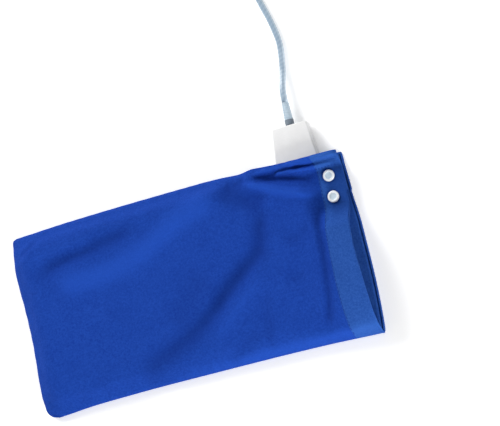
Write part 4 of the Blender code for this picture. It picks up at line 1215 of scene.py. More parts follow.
        shape = new_grid((last, 3), placed)
        bmesh.ops.recalc_face_normals(shape, faces=shape.faces)
        item = finished("seam_allowance_knit", shape, self.knit)
        self.shaded(item)
        thickened(item, self.seam_cloth, 0.0)
        carried(item, Body.MITT, "knit", "cover_seam_allowance")

    def finely(self, line: Line) -> list[Vector]:
        """Points every few millimetres along a line."""
        count = round(line.length / self.seam_step)
        wanted = [line.length * number / count for number in range(count + 1)]
        parts = [np.interp(wanted, line.walked, [point[axis] for point in line.points]) for axis in range(3)]
        return [Vector(place) for place in zip(*parts)]

    def bowed(self, point: Vector) -> Plan:
        """Where a point on the flat bag's edge lies on the shown outline."""
        form = self.form
        x, y = np.array(point.x), np.array(point.y)
        closed = 1 - eased((x + form.half_length) / form.corner_spread)
        px, py = form.plan(x, y, False)
        return float(px - form.inset(y) * closed), float(py)

    def build(self) -> None:
        """Makes the whole cover."""
        self.panel(Panel.BACK, "ground", "cover_back_panel")
        self.panel(Panel.FRONT, "back_panel_knit", "cover_front_panel", "cover_cuff_flap")
        self.hems()
        self.stitching()
        self.seam()


@dataclass(frozen=True)
class Snaps:
    """Two plastic snaps: each a cap and a socket on the cuff's flap, a stud and a cap on the back."""

    form: CoverForm
    plastic: Material
    dish_painted_shade: Material
    radius: float = 0.0055
    height: float = 0.0016
    rim: float = 0.0026
    dish: float = 0.0007
    post: float = 0.0012
    plate: float = 0.0009
    plate_radius: float = 0.0052
    nub: float = 0.0020
    nub_height: float = 0.0012
    socket_height: float = 0.0028
    bore: float = 0.0028
    hole: float = 0.0016
    bevel: float = 0.0002
    chamfer: float = 0.0003
    # The cap's rounded shoulder, the upright skirt below it, and the steps (out, up) round its dish
    shoulder: float = 0.0012
    skirt: float = 0.0004
    dish_edge: float = 0.0005
    dish_steps: tuple[Plan, ...] = ((-0.0005, 0.0), (-0.0001, 0.00012), (0.0003, 0.00045))
    dish_rim: float = 0.0007
    steps: int = 64

    def cap(self, name: str, place: Place, upward: bool, body: Body, node: str) -> None:
        """A cap with a round rim, a dish in its middle and a post through the cloth."""
        depth = self.form.gap * 3 + self.form.cloth + self.form.hem_cloth + self.plate / 2
        inner, top = self.radius - self.rim, self.radius - self.shoulder
        profile = [(0.0, self.height - self.dish)]
        profile += [(inner + out, self.height - self.dish + up) for out, up in self.dish_steps]
        profile += [(inner + self.dish_rim, self.height), (top, self.height)]
        for step in range(1, 8):
            angle = math.pi / 2 * step / 7
            height = self.skirt + (self.height - self.skirt) * math.cos(angle)
            profile.append((top + self.shoulder * math.sin(angle), height))
        profile += [(self.radius - self.chamfer, 0.0), (self.post, 0.0), (self.post, -depth), (0.0, -depth)]
        turn = Matrix.Translation(place)
        if not upward:
            turn = turn @ Matrix.Rotation(math.pi, 4, "X")
        item = finished(name, new_turned(profile, self.steps, turn), self.plastic)
        # The dish in the cap's middle takes a darker finish: painted shade in its recess
        item.data.materials.append(self.dish_painted_shade)
        for face in item.data.polygons:
            if math.hypot(face.center.x - place[0], face.center.y - place[1]) < inner + self.dish_edge / 2:
                face.material_index = 1
        carried(creased(item, 50.0), body, "snap", node)

    def socket(self, name: str, place: Place, node: str) -> None:
        """The ring under the flap that grips the stud, with a lip round its mouth."""
        roof, top, radius = self.socket_height - self.plate, self.socket_height, self.plate_radius
        wall, mouth = (self.bore + radius) / 2, self.bore + self.bevel
        profile = [(self.hole, top), (radius - self.bevel, top), (radius, top - self.chamfer)]
        profile += [(radius, roof + self.bevel / 2), (radius - self.chamfer, roof), (wall, roof)]
        profile += [(wall, self.chamfer), (wall - self.chamfer, 0.0), (mouth, 0.0)]
        profile += [(self.bore, 2 * self.bevel), (mouth, 5 * self.bevel), (mouth, roof)]
        profile += [(self.hole, roof), (self.hole, top)]
        shape = new_turned(profile, self.steps, Matrix.Translation(place))
        carried(creased(finished(name, shape, self.plastic)), Body.FLAP, "snap", node)

    def stud(self, name: str, place: Place, node: str) -> None:
        """The plate and the swelling nub that the socket grips."""
        top, radius = self.plate + self.nub_height, self.plate_radius
        profile = [(self.hole, 0.0), (self.hole, top - 2 * self.bevel), (self.nub - self.chamfer, top)]
        profile += [(self.nub, top - self.chamfer), (self.nub - self.bevel / 2, self.plate + self.bevel)]
        profile += [(self.nub + self.chamfer, self.plate), (radius - self.bevel, self.plate)]
        profile += [(radius, self.plate - self.bevel), (radius, 0.0), (self.hole, 0.0)]
        shape = new_turned(profile, self.steps, Matrix.Translation(place))
        carried(creased(finished(name, shape, self.plastic)), Body.MITT, "snap", node)

    def build(self) -> None:
        """Makes both snaps at their places in the cover's form."""
        form = self.form
        stud_seat = form.back_lift + form.cloth + form.hem_cloth + 2 * form.gap
        socket_seat = stud_seat + self.plate + form.gap
        cap_seat = form.front_at_snap + form.cloth + form.gap
        back_seat = form.back_lift - form.gap
        x = form.snap_x
        for n, y in enumerate(form.snap_ys, 1):
            self.cap(f"snap_front_cap_{n}", (x, y, cap_seat), True, Body.FLAP, f"snap_cap_front_{n}")
            self.socket(f"snap_ring_{n}", (x, y, socket_seat), f"snap_socket_{n}")
            self.stud(f"snap_nub_{n}", (x, y, stud_seat), f"snap_stud_{n}")
            self.cap(f"snap_back_cap_{n}", (x, y, back_seat), False, Body.MITT, f"snap_cap_back_{n}")


@dataclass(frozen=True)
class Liner:
    """The heated pad inside the bag: a back half, a front half and tape round three sides."""

    form: CoverForm
    vinyl: Material
    felt: Material
    wire: Material
    tape: Material
    skin: float = 0.0004
    felt_depth: float = 0.0015
    wire_radius: float = 0.0006
    side: float = 0.0745
    closed_end: float = 0.153
    mouth: float = 0.128
    corner: float = 0.025
    wire_inset: float = 0.018
    wire_from_mouth: float = 0.048
    runs: int = 6
    # The sewn channels' depth and width, and where they start from the mouth and how fast
    channel: float = 0.0005
    channel_width: float = 0.0022
    channel_start: Plan = (0.006, 0.01)
    # How much finer the faces get towards the mouth
    finer: float = 1.15
    binding: float = 0.0012
    clearance: float = 0.0022
    steps: tuple[int, int] = (96, 54)

    def reach(self, x: float) -> float:
        """Half the pad's width at x."""
        into = max(0.0, self.corner - (x + self.closed_end))
        return self.side - self.corner + math.sqrt(max(0.0, self.corner**2 - into**2))

    def quilted(self, x: Field, y: Field) -> Field:
        """How deep the sewn channels between the wire's runs pull the pad in."""
        spacing = 2 * (self.side - self.wire_inset) / (self.runs - 1)
        phase = (y / spacing + 0.5) % 1.0 - 0.5
        start, run = self.channel_start
        inner = eased((self.mouth - start - x) / run)
        return -self.channel * np.exp(-((phase * spacing / self.channel_width) ** 2)) * inner

    def settled(self, x: Field, y: Field, front: bool, low: float) -> Field:
        """The places of points of the flat pad that lie this far from their panel."""
        form = self.form
        px, py = form.plan(x, y, False)
        if front:
            z = form.front(x, y) - form.cloth - form.gap - low + self.quilted(x, y)
        else:
            z = form.cloth + form.gap + low - self.quilted(x, y)
        return np.stack([px, py, z], axis=1)

    def layer(self, node: str, low: float, depth: float, material: Material, slot: str) -> Piece:
        """One layer of a half of the pad.

        Args:
            node: The node that it stands for, named liner_front_ or liner_back_ and what it is.
            low: How far from the panel its nearer side lies.
            depth: Its thickness.
            material: Its material.
            slot: Its material slot.

        Returns:
            The piece.
        """

        def placed(u: float, v: float) -> Vector:
            """A place of the flat pad."""
            x = mixed(-self.closed_end, self.mouth, 1 - (1 - u) ** self.finer)
            return Vector((x, (2 * v - 1) * self.reach(x), 0.0))

        front = node.startswith("liner_front")
        shape = new_grid(self.steps, placed, (self.mouth + self.closed_end, 2 * self.side))
        x, y = np.array([vert.co[:2] for vert in shape.verts]).T
        for vert, place in zip(shape.verts, self.settled(x, y, front, low)):
            vert.co = place
        if not front:
            bmesh.ops.reverse_faces(shape, faces=shape.faces)
        item = finished(f"{node}_pad", shape, material)
        thickened(item, depth, -1.0)
        carried(item, Body.MITT, slot, node)
        return item

    def half(self, side: str) -> None:
        """The four layers of one half."""
        gap = self.form.gap
        felt = self.skin + gap
        wire = felt + self.felt_depth + gap + self.wire_radius
        inner = wire + self.wire_radius + gap
        outer_skin = self.layer(f"liner_{side}_outer_skin", 0.0, self.skin, self.vinyl, "vinyl")
        pad = self.layer(f"liner_{side}_felt", felt, self.felt_depth, self.felt, "felt")
        inner_skin = self.layer(f"liner_{side}_inner_skin", inner, self.skin, self.vinyl, "vinyl")
        flat = (2 * self.side, self.mouth + self.closed_end)
        self.heater(side, wire)

    def heater(self, side: str, low: float) -> None:
        """The heating wire, in runs along X that half circles join."""
        reach = self.side - self.wire_inset
        spacing = 2 * reach / (self.runs - 1)
        far = self.wire_inset - self.closed_end + spacing / 2
        near = self.mouth - self.wire_from_mouth - spacing / 2
        straight, bend = 30, 12
        places: list[Plan] = []
        for run in range(self.runs):
            y = reach - run * spacing
            start, end = (near, far) if run % 2 == 0 else (far, near)
            places += [(mixed(start, end, step / straight), y) for step in range(straight + 1)]
            outward = math.copysign(1, end - start)
            for step in range(1, bend if run < self.runs - 1 else 1):
                angle = math.pi * step / bend
                across = spacing / 2 * (1 - math.cos(angle))
                places.append((end + outward * spacing / 2 * math.sin(angle), y - across))
        x, y = np.array(places).T
        line = Line([Vector(place) for place in self.settled(x, y, side == "front", low)])
        shape = new_tube(line, lambda _angle, _along: self.wire_radius, 8)
        item = finished(f"liner_{side}_heating_wire_run", shape, self.wire)
        carried(item, Body.MITT, "heating_wire", f"liner_{side}_heating_wire")

    def edge_tape(self) -> None:
        """The tape that closes the pad's three sides, as high as the front panel lets it stand."""
        form = self.form
        middle = form.gap + self.binding / 2
        straight, bend = 60, 15
        xs = list(np.linspace(self.mouth, self.corner - self.closed_end, straight))
        corner = self.corner + middle
        places = [(x, self.side + middle) for x in xs]
        for quarter, y_sign in ((90, 1), (180, -1)):
            for step in range(1, bend):
                angle = math.radians(quarter + 90 * step / bend)
                x = self.corner - self.closed_end + corner * math.cos(angle)
                places.append((x, y_sign * (self.side - self.corner) + corner * math.sin(angle)))
        places += [(x, -self.side - middle) for x in reversed(xs)]
        x, y = np.array(places).T
        top = form.front(x, y) - form.cloth - self.clearance
        line = Line([Vector((px, py, 0.0)) for px, py in zip(*form.plan(x, y, False))])
        floor = form.cloth + form.gap
        half = self.binding / 2
        last = len(places) - 1
        section = [(-half, 0.04), (-half, 0.5), (-half, 0.96), (-half / 2, 1.0), (half / 2, 1.0)]
        section += [(half, 0.96), (half, 0.5), (half, 0.04), (half / 2, 0.0), (-half / 2, 0.0)]

        def placed(around: float, along: float) -> Vector:
            """One point of the tape's skin."""
            number = round(along * last)
            out, share = section[round(around * len(section)) % len(section)]
            place = line.points[number] + line.across[number] * out
            place.z = mixed(floor, float(top[number]), share)
            return place

        shape = closed_tube(new_grid((len(section), last), placed))
        item = finished("liner_edge_tape", shape, self.tape)
        carried(creased(item), Body.MITT, "vinyl", "liner_edge_binding")

    def build(self) -> None:
        """Makes both halves and the tape."""
        self.half("back")
        self.half("front")
        self.edge_tape()


@dataclass(frozen=True)
class Relief:
    """A soft tapered collar round the cord, with moulded rings and a neck in the housing's wall."""

    vinyl: Material
    root_shade: Material
    length: float = 0.022
    root_length: float = 0.0055
    radius: float = 0.0042
    tip: float = 0.0032
    neck: float = 0.0030
    neck_depth: float = 0.006
    rings: int = 7
    groove: float = 0.00030
    # One ring's outline from its top down, as (share of its height, share of the groove's depth)
    ring: tuple[Plan, ...] = ((0.10, 0.0), (0.18, 0.9), (0.30, 1.0), (0.38, 0.1), (0.60, 0.0), (0.95, 0.0))
    edge: float = 0.0004
    gap: float = 0.0003

    def profile(self) -> list[Plan]:
        """The collar's outline as (radius, height), from its tip down to its neck."""
        top = self.length - self.edge
        points = [(0.0, self.length), (self.tip - self.edge, self.length), (self.tip, top)]
        step = (top - self.root_length) / self.rings
        for number in range(self.rings):
            for share, cut in self.ring:
                height = top - step * (number + share)
                grown = mixed(self.radius, self.tip, height / self.length)
                points.append((grown - self.groove * cut, height))
        points += [(self.radius, self.root_length), (self.radius, self.gap + self.edge)]
        points += [(self.radius - self.edge, self.gap), (self.neck, self.gap)]
        points += [(self.neck, -self.neck_depth), (0.0, -self.neck_depth)]
        return points

    def build(self, name: str, face: Place, heading: Plan, node: str) -> None:
        """Makes one on a housing's face, pointing along a heading, with its root darkened as painted shade.
        """
        way = Vector((*heading, 0.0))
        turn = way.to_track_quat("Z", "Y").to_matrix().to_4x4()
        shape = new_turned(self.profile(), 40, Matrix.Translation(face) @ turn)
        item = creased(finished(name, shape, self.vinyl), 40.0)
        # The root next to the housing takes the darker finish: painted shade
        item.data.materials.append(self.root_shade)
        for part in item.data.polygons:
            if (part.center - Vector(face)).dot(way) < self.root_length:
                part.material_index = 1
        carried(item, Body.MITT, "collar", node)


def rounded_rectangle(
    size: Plan, centre: Plan, corner: float, steps: int = 8, taper: float = 0.0
) -> list[Plan]:
    """A rectangle with round corners, narrower towards +Y by a taper at each side."""
    half_x, half_y = size[0] / 2 - corner, size[1] / 2 - corner
    points = []
    for number, (sx, sy) in enumerate(((1, 1), (-1, 1), (-1, -1), (1, -1))):
        for step in range(steps + 1):
            angle = math.pi / 2 * (number + step / steps)
            x = sx * half_x + corner * math.cos(angle)
            y = sy * half_y + corner * math.sin(angle)
            narrower = 1 - 2 * taper / size[0] * min(max(y / size[1] + 0.5, 0.0), 1.0)
            points.append((centre[0] + x * narrower, centre[1] + y))
    return points


def new_loft(rings: Sequence[tuple[list[Plan], float]], hoop: bool = False) -> Shape:
    """A closed skin through outlines at heights.

    Args:
        rings: The outlines with their heights.
        hoop: Whether the last one joins the first, instead of both being filled.

    Returns:
        The shape, facing outwards.
    """
    shape = bmesh.new()
    loops = []
    for outline, height in rings:
        points = [shape.verts.new((x, y, height)) for x, y in outline]
        loops.append([shape.edges.new((points[number - 1], point)) for number, point in enumerate(points)])
    for lower, upper in zip(loops, loops[1:]):
        bmesh.ops.bridge_loops(shape, edges=lower + upper)
    if hoop:
        bmesh.ops.bridge_loops(shape, edges=loops[-1] + loops[0])
    else:
        bmesh.ops.edgeloop_fill(shape, edges=loops[0])
        bmesh.ops.edgeloop_fill(shape, edges=loops[-1])
    bmesh.ops.recalc_face_normals(shape, faces=shape.faces)
    return shape


def rounded_edge(edge: float) -> list[Plan]:
    """The (inset, height) steps over a rounded edge, from its side up to its top."""
    steps = 6
    turns = [math.pi / 2 * step / steps for step in range(steps + 1)]
    return [(edge * (1 - math.cos(turn)), edge * math.sin(turn)) for turn in turns]


def drilled(item: Piece, holes: Sequence[Shape]) -> Piece:
    """Cuts holes of the given closed shapes into a piece."""
    for number, hole in enumerate(holes):
        cutter = finished(f"{item.name}_hole_{number}", hole, item.data.materials[0])
        change = item.modifiers.new("hole", "BOOLEAN")
        change.operation = "DIFFERENCE"
        change.solver = "EXACT"
        change.object = cutter
        bpy.context.view_layer.update()
        cut = item.evaluated_get(bpy.context.evaluated_depsgraph_get())
        mesh = bpy.data.meshes.new_from_object(cut)
        item.modifiers.remove(change)
        item.data = mesh
        bpy.data.objects.remove(cutter)
    return item


def redressed(material: Material, *nodes: str) -> None:
    """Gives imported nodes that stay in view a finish."""
    for name in nodes:
        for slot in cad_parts[name].material_slots:
            slot.material = material


@dataclass(frozen=True)
class TerminalBlock:
    """The white block at the slit, where the cord meets the heating wires: two shells and a collar."""

    white: Material
    steel: Material
    relief: Relief
    size: Place = (0.042, 0.038, 0.011)
    centre: Place = (0.123, 0.102, 0.0092)
    wall: float = 0.0018
    edge: float = 0.0014
    corner: float = 0.0022
    taper: float = 0.0043
    lip: float = 0.0003
    gap: float = 0.0003
    screw_head: float = 0.0022
    screw_shank: float = 0.0011
    screw_hole: float = 0.0024

    def outline(self, inset: float) -> list[Plan]:
        """The block seen from above, smaller by an inset all round."""
        size = (self.size[0] - 2 * inset, self.size[1] - 2 * inset)
        corner = max(self.corner - inset, self.lip)
        return rounded_rectangle(size, self.centre[:2], corner, 10, self.taper)

    def half(self, upward: bool) -> Shape:
        """One shell, whose rounded edge faces up or down."""
        sign = 1 if upward else -1
        part = self.centre[2] + sign * self.gap / 2
        roof = self.centre[2] + sign * self.size[2] / 2
        rings = [(self.outline(self.wall), roof - sign * self.wall), (self.outline(self.wall), part)]
        rings += [(self.outline(self.lip), part), (self.outline(0.0), part + sign * self.lip)]
        for inset, height in rounded_edge(self.edge):
            rings.append((self.outline(inset), roof - sign * (self.edge - height)))
        return new_loft(rings)

    def screw_place(self, number: int) -> tuple[Place, float]:
        """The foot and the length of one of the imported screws."""
        low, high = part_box(f"block_screw_{number}")
        return ((low[0] + high[0]) / 2, (low[1] + high[1]) / 2, low[2]), high[2] - low[2]

    def shells(self) -> None:
        """Its two shells, with screw holes in the lower one."""
        upper = finished("block_upper_moulding", self.half(True), self.white)
        carried(creased(upper), Body.MITT, "housing", "block_upper_shell")
        low = self.centre[2] - self.size[2] / 2
        holes = []
        for number in (1, 2):
            foot, _ = self.screw_place(number)
            outline = [(0.0, foot[2]), (self.screw_hole, foot[2]), (self.screw_hole, low - self.gap)]
            outline.append((0.0, low - self.gap))
            holes.append(new_turned(outline, 32, Matrix.Translation((foot[0], foot[1], 0.0))))
        lower = finished("block_lower_moulding", self.half(False), self.white)
        carried(creased(drilled(lower, holes)), Body.MITT, "housing", "block_lower_shell")

    def screws(self) -> None:
        """Its two screws, driven in from below."""
        for number in (1, 2):
            foot, length = self.screw_place(number)
            shape = new_screw(self.screw_head, self.screw_shank, length)
            bmesh.ops.translate(shape, vec=foot, verts=shape.verts)
            item = finished(f"block_screw_steel_{number}", shape, self.steel)
            carried(creased(item), Body.MITT, "screw", f"block_screw_{number}")

    def build(self) -> None:
        """Makes the block with its collar and screws."""
        self.shells()
        self.screws()
        face = (self.centre[0], self.centre[1] + self.size[1] / 2, self.centre[2])
        self.relief.build("block_cord_collar", face, (0.0, 1.0), "block_strain_relief")


def new_screw(head: float, shank: float, length: float) -> Shape:
    """A small pan-head screw that stands head down at the origin, with a socket in its head.

    Args:
        head: Its head's radius.
        shank: Its thread's radius.
        length: Its length with the head.

    Returns:
        The shape.
    """
    head_height, tip = head * 0.6, shank * 0.6
    pitch, depth = shank * 0.55, shank * 0.16
    profile = [(0.0, length), (shank * 0.45, length), (shank, length - tip)]
    for turn in range(int((length - tip - head_height) / pitch)):
        height = length - tip - turn * pitch
        profile += [(shank, height - pitch * 0.15), (shank - depth, height - pitch * 0.5)]
        profile.append((shank, height - pitch * 0.85))
    profile += [(shank, head_height), (head, head_height), (head, head * 0.25), (head * 0.86, head * 0.05)]
    profile += [(head * 0.34, 0.0), (head * 0.24, head * 0.30), (0.0, head * 0.34)]
    return new_turned(profile, 32, Matrix())


@dataclass(frozen=True)
class Cords:
    """The lead from the block to the hand control, and the supply cord from there to the plug."""

    radius: float = 0.003
    waist: float = 0.00045
    twist_depth: float = 0.00012
    lying: float = 0.0033
    step: float = 0.0035
    sides: int = 20
    block_exit: Place = (0.123, 0.1433, 0.0092)
    control_in: Place = (0.0883, 0.432, 0.011)
    control_out: Place = (-0.0683, 0.432, 0.011)
    plug_tip: Place = (-0.0773, 0.352, 0.009)
    coil_middle: Plan = (-0.190, 0.400)
    coil_inner: float = 0.0261
    coil_pitch: float = 0.0067
    coil_turns: int = 4
    coil_points: int = 36
    coil_lying: float = 0.0043
    lead_route: tuple[Plan, ...] = (
        (0.1262, 0.176), (0.1285, 0.200), (0.1245, 0.223), (0.1180, 0.246), (0.112, 0.275), (0.116, 0.308),
        (0.136, 0.335), (0.166, 0.348), (0.192, 0.370), (0.198, 0.401), (0.178, 0.427), (0.142, 0.437),
    )
    link_route: tuple[Plan, ...] = ((-0.098, 0.432),)
    tail_route: tuple[Plan, ...] = ((-0.148, 0.347), (-0.112, 0.351))

    def smooth_route(self, route: Sequence[Vector], heading: Vector, leaving: Vector) -> list[Vector]:
        """Points at even steps along a smooth curve through a route.

        Args:
            route: The points that it passes.
            heading: The way it starts.
            leaving: The way it ends.

        Returns:
            The points.
        """
        before = route[1] - 2 * (route[1] - route[0]).length * heading
        after = route[-2] + 2 * (route[-1] - route[-2]).length * leaving
        ends = [before, *route, after]
        fine: list[Vector] = []
        parts = 24
        for a, b, c, d in zip(ends, ends[1:], ends[2:], ends[3:]):
            for part in range(parts):
                t = part / parts
                bend = (2 * a - 5 * b + 4 * c - d) * t**2
                twist = (3 * b - a - 3 * c + d) * t**3
                fine.append(b + ((c - a) * t + bend + twist) / 2)
        line = Line([*fine, route[-1]])
        count = max(2, round(line.length / self.step))
        points = [line.points[0]]
        for number, (a, b) in enumerate(zip(line.points, line.points[1:])):
            while len(points) < count and line.walked[number + 1] >= len(points) * line.length / count:
                wanted = len(points) * line.length / count - line.walked[number]
                points.append(a.lerp(b, wanted / (b - a).length))
        return [*points, line.points[-1]]

    def run(
        self, start: Vector, heading: Plan, route: Sequence[Plan], end: Vector, leaving: Plan
    ) -> list[Vector]:
        """A free stretch on the ground between two ends, straight at each for one diameter."""
        first_way, last_way = Vector((*heading, 0.0)), Vector((*leaving, 0.0))
        first = start + 2 * self.radius * first_way
        last = end - 2 * self.radius * last_way
        middle = [Vector((x, y, self.lying)) for x, y in route]
        return [start, *self.smooth_route([first, *middle, last], first_way, last_way), end]

    def coil_point(self, turn: float) -> Vector:
        """The coil's centreline after this many turns: in over the ground, up, and out again."""
        climb = turn - self.coil_turns
        if climb < 0:
            radius = self.coil_inner - climb * self.coil_pitch
        elif climb < 1 / 2:
            radius = self.coil_inner - self.coil_pitch * climb * (1 - 2 * climb)
        else:
            radius = self.coil_inner + (climb - 1 / 2) * self.coil_pitch
        angle = math.tau * (turn + 1 / 4)
        x = self.coil_middle[0] + radius * math.cos(angle)
        y = self.coil_middle[1] + radius * math.sin(angle)
        return Vector((x, y, self.coil_lying + self.coil_pitch * eased(2 * climb)))

    def coil(self) -> list[Vector]:
        """The coil's points, with a short straight end at each side."""
        turns = 2 * self.coil_turns + 1 / 2
        count = round(turns * self.coil_points)
        loops = [self.coil_point(turns * number / count) for number in range(count + 1)]
        straight = Vector((2 * self.radius, 0.0, 0.0))
        return [loops[0] + straight, *loops, loops[-1] + straight]

    def section(self, angle: float, along: float) -> float:
        """The twin cord's radius: two cores with a shallow waist between them, and the lay of its strands."""
        waist = self.waist * abs(math.sin(angle)) ** 6
        lay = math.sin(math.tau * along / CORD_LAY + 2 * angle)
        return self.radius - waist - self.twist_depth * (1 - lay) / 2

    def build(self, finish: Material, on_lead: list[str], on_supply: list[str]) -> None:
        """Args:
            finish: Their material.
            on_lead: The pieces at the lead's far end.
            on_supply: The pieces on the supply cord.
        """
        lead = self.run(Vector(self.block_exit), (0, 1), self.lead_route, Vector(self.control_in), (-1, 0))
        self.declare("lead_twin_cord", lead, finish, on_lead, ("lead_cord",))
        coil = self.coil()
        link = self.run(Vector(self.control_out), (-1, 0), self.link_route, coil[0], (-1, 0))
        tail = self.run(coil[-1], (1, 0), self.tail_route, Vector(self.plug_tip), (1, 0))
        supply = [*link, *coil[1:], *tail[1:]]
        nodes = ("supply_cord_link", "supply_cord_coil", "supply_cord_tail")
        self.declare("supply_twin_cord", supply, finish, on_supply, nodes)

    def declare(
        self, name: str, points: Sequence[Vector], finish: Material,
        pieces: Sequence[str], nodes: Sequence[str],
    ) -> None:
        """Makes one cord along its points and logs its length.

        Args:
            name: The piece's name.
            points: Its centreline.
            finish: Its material.
            pieces: The pieces on it.
            nodes: The nodes that it stands for.
        """
        line = Line(points)
        item = finished(name, new_tube(line, self.section, self.sides), finish)
        carried(item, Body.MITT, "cord", *nodes)
        tuple(points[0])
        2 * self.radius
        [tuple(point) for point in points]
        list(pieces)
        LOG.info("%s is %.3f m long", name, line.length)


@dataclass(frozen=True)
class HandControl:
    """What the hand control shows besides its packed shells: the knob, and a collar at each end."""

    dark: Material
    relief: Relief
    knob: Place = (0.014, 0.016, 0.0045)
    knob_place: Plan = (-0.006, 0.432)
    knob_foot: float = 0.0223
    knob_corner: float = 0.0022
    knob_edge: float = 0.001
    rib: Place = (0.0008, 0.0124, 0.0009)
    rib_count: int = 5
    rib_pitch: float = 0.0020
    stem: Place = (0.007, 0.004, 0.012)
    stem_edge: float = 0.0003
    end_faces: Plan = (0.066, -0.046)
    cord_line: Plan = (0.432, 0.011)

    def sliding_knob(self) -> None:
        """The knob with ribs across its top and a stem down through the slot."""
        x, y = self.knob_place
        top = self.knob_foot + self.knob[2] - self.rib[2] / 3
        rings = []
        for inset, height in reversed(rounded_edge(self.knob_edge / 2)):
            rings.append((self.knob_outline(inset), self.knob_foot + self.knob_edge / 2 - height))
        for inset, height in rounded_edge(self.knob_edge):
            rings.append((self.knob_outline(inset), top - self.knob_edge + height))
        shape = new_loft(rings)
        for number in range(self.rib_count):
            across = x + (number - (self.rib_count - 1) / 2) * self.rib_pitch
            shape = joined(shape, new_block(self.rib, (across, y, top), self.rib[0] * 0.45))
        stem_middle = (x, y, self.knob_foot + self.knob_edge - self.stem[2] / 2)
        shape = joined(shape, new_block(self.stem, stem_middle, self.stem_edge))
        item = finished("control_sliding_knob", shape, self.dark)
        carried(creased(item), Body.SLIDER, "dark_plastic", "heat_slider")

    def knob_outline(self, inset: float) -> list[Plan]:
        """The knob seen from above, smaller by an inset."""
        size = (self.knob[0] - 2 * inset, self.knob[1] - 2 * inset)
        return rounded_rectangle(size, self.knob_place, self.knob_corner - inset)

    def build(self) -> None:
        """Makes the knob and both collars."""
        self.sliding_knob()
        for number, (face, heading) in enumerate(zip(self.end_faces, (1.0, -1.0)), 1):
            name, node = f"control_cord_collar_{number}", f"control_strain_relief_{number}"
            self.relief.build(name, (face, *self.cord_line), (heading, 0.0), node)


@dataclass(frozen=True)
class Plug:
    """The moulded plug's body with grip grooves, and its collar."""

    vinyl: Material
    relief: Relief
    length: float = 0.030
    width: float = 0.026
    height: float = 0.018
    rear: Place = (-0.055, 0.352, 0.009)
    corner: float = 0.004
    edge: float = 0.0018
    waist: float = 0.0022
    waist_end: float = 0.75
    groove: float = 0.0006
    groove_count: int = 5
    groove_pitch: float = 0.0030
    steps: int = 60

    def slimmed(self, along: float) -> float:
        """How far the sides are drawn in at a length along the body, by a waist with grooves."""
        share = along / self.length
        waist = self.waist * math.sin(math.pi * eased(share / self.waist_end)) ** 2
        middle = along - self.waist_end / 2 * self.length
        if abs(middle) > self.groove_pitch * self.groove_count / 2:
            return waist
        return waist + self.groove * (0.5 + 0.5 * math.cos(math.tau * middle / self.groove_pitch))

    def outline(self, inset: float, slimmer: float) -> list[Plan]:
        """The body's section."""
        size = (self.width - 2 * inset - 2 * slimmer, self.height - 2 * inset)
        return rounded_rectangle(size, (0.0, 0.0), self.corner - inset)

    def body(self) -> None:
        """The body, lofted from its rear to the face with the blades."""
        rings = []
        for inset, height in reversed(rounded_edge(self.edge)):
            rings.append((self.outline(inset, 0.0), self.edge - height))
        for step in range(1, self.steps):
            along = mixed(self.edge, self.length - self.edge, step / self.steps)
            rings.append((self.outline(0.0, self.slimmed(along)), along))
        for inset, height in rounded_edge(self.edge):
            rings.append((self.outline(inset, 0.0), self.length - self.edge + height))
        shape = new_loft(rings)
        turn = Matrix(((0, 0, 1), (1, 0, 0), (0, 1, 0))).to_4x4()
        bmesh.ops.transform(shape, matrix=Matrix.Translation(self.rear) @ turn, verts=shape.verts)
        item = finished("plug_moulding", shape, self.vinyl)
        carried(creased(item, 50.0), Body.MITT, "cord", "plug_body")

    def build(self) -> None:
        """Makes the body and its collar."""
        self.body()
        self.relief.build("plug_cord_collar", self.rear, (-1.0, 0.0), "plug_strain_relief")


@dataclass(frozen=True)
class CordTie:
    """The strap that holds the coiled cord, with its end lapped over on top."""

    dark: Material
    node: str = "cord_tie"
    thickness: float = 0.001
    corner: float = 0.0072
    edge: float = 0.0002
    lap: Place = (0.016, 0.0094, 0.0010)

    def build(self) -> None:
        """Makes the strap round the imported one's place."""
        low, high = (Vector(place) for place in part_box(self.node))
        middle, size = (low + high) / 2, high - low

        def ring(inset: float) -> list[Plan]:
            """The strap's loop seen along Y."""
            loop = (size.x - 2 * inset, size.z - 2 * inset)
            return rounded_rectangle(loop, (0.0, 0.0), self.corner - inset)

        half, edge = size.y / 2, self.edge
        section = [(self.thickness, -half + edge), (edge, -half), (0.0, -half + edge), (0.0, half - edge)]
        section += [(edge, half), (self.thickness, half - edge)]
        shape = new_loft([(ring(inset), height) for inset, height in section], hoop=True)
        turn = Matrix(((1, 0, 0), (0, 0, -1), (0, 1, 0))).to_4x4()
        bmesh.ops.transform(shape, matrix=Matrix.Translation(middle) @ turn, verts=shape.verts)
        lap_place = (middle.x, middle.y, high.z + self.lap[2] / 2 - edge)
        shape = joined(shape, new_block(self.lap, lap_place, self.lap[2] * 0.4))
        carried(creased(finished("coil_strap", shape, self.dark)), Body.MITT, "dark_plastic", self.node)


@dataclass(frozen=True)
class Lamp:
    """A square soft lamp."""

    name: str
    power: float
    size: float
    place: Place

    def build(self, target: Vector) -> None:
        """Hangs it, facing a target."""
        data = bpy.data.lights.new(self.name, "AREA")
        data.energy = self.power
        data.size = self.size
        item = bpy.data.objects.new(self.name, data)
        item.location = self.place
        item.rotation_mode = "QUATERNION"
        item.rotation_quaternion = (target - Vector(self.place)).to_track_quat("-Z", "Y")
        bpy.context.scene.collection.objects.link(item)


def seen_rays(tree: NodeTree) -> Wire:
    """Adds nodes that are 1 for what the camera sees, straight or in a mirror or glass."""
    rays = tree.nodes.new("ShaderNodeLightPath")
    wires = [Wire(tree, rays.outputs[f"Is {kind} Ray"]) for kind in ("Camera", "Glossy", "Transmission")]
    return wires[0].math("MAXIMUM", wires[1]).math("MAXIMUM", wires[2])


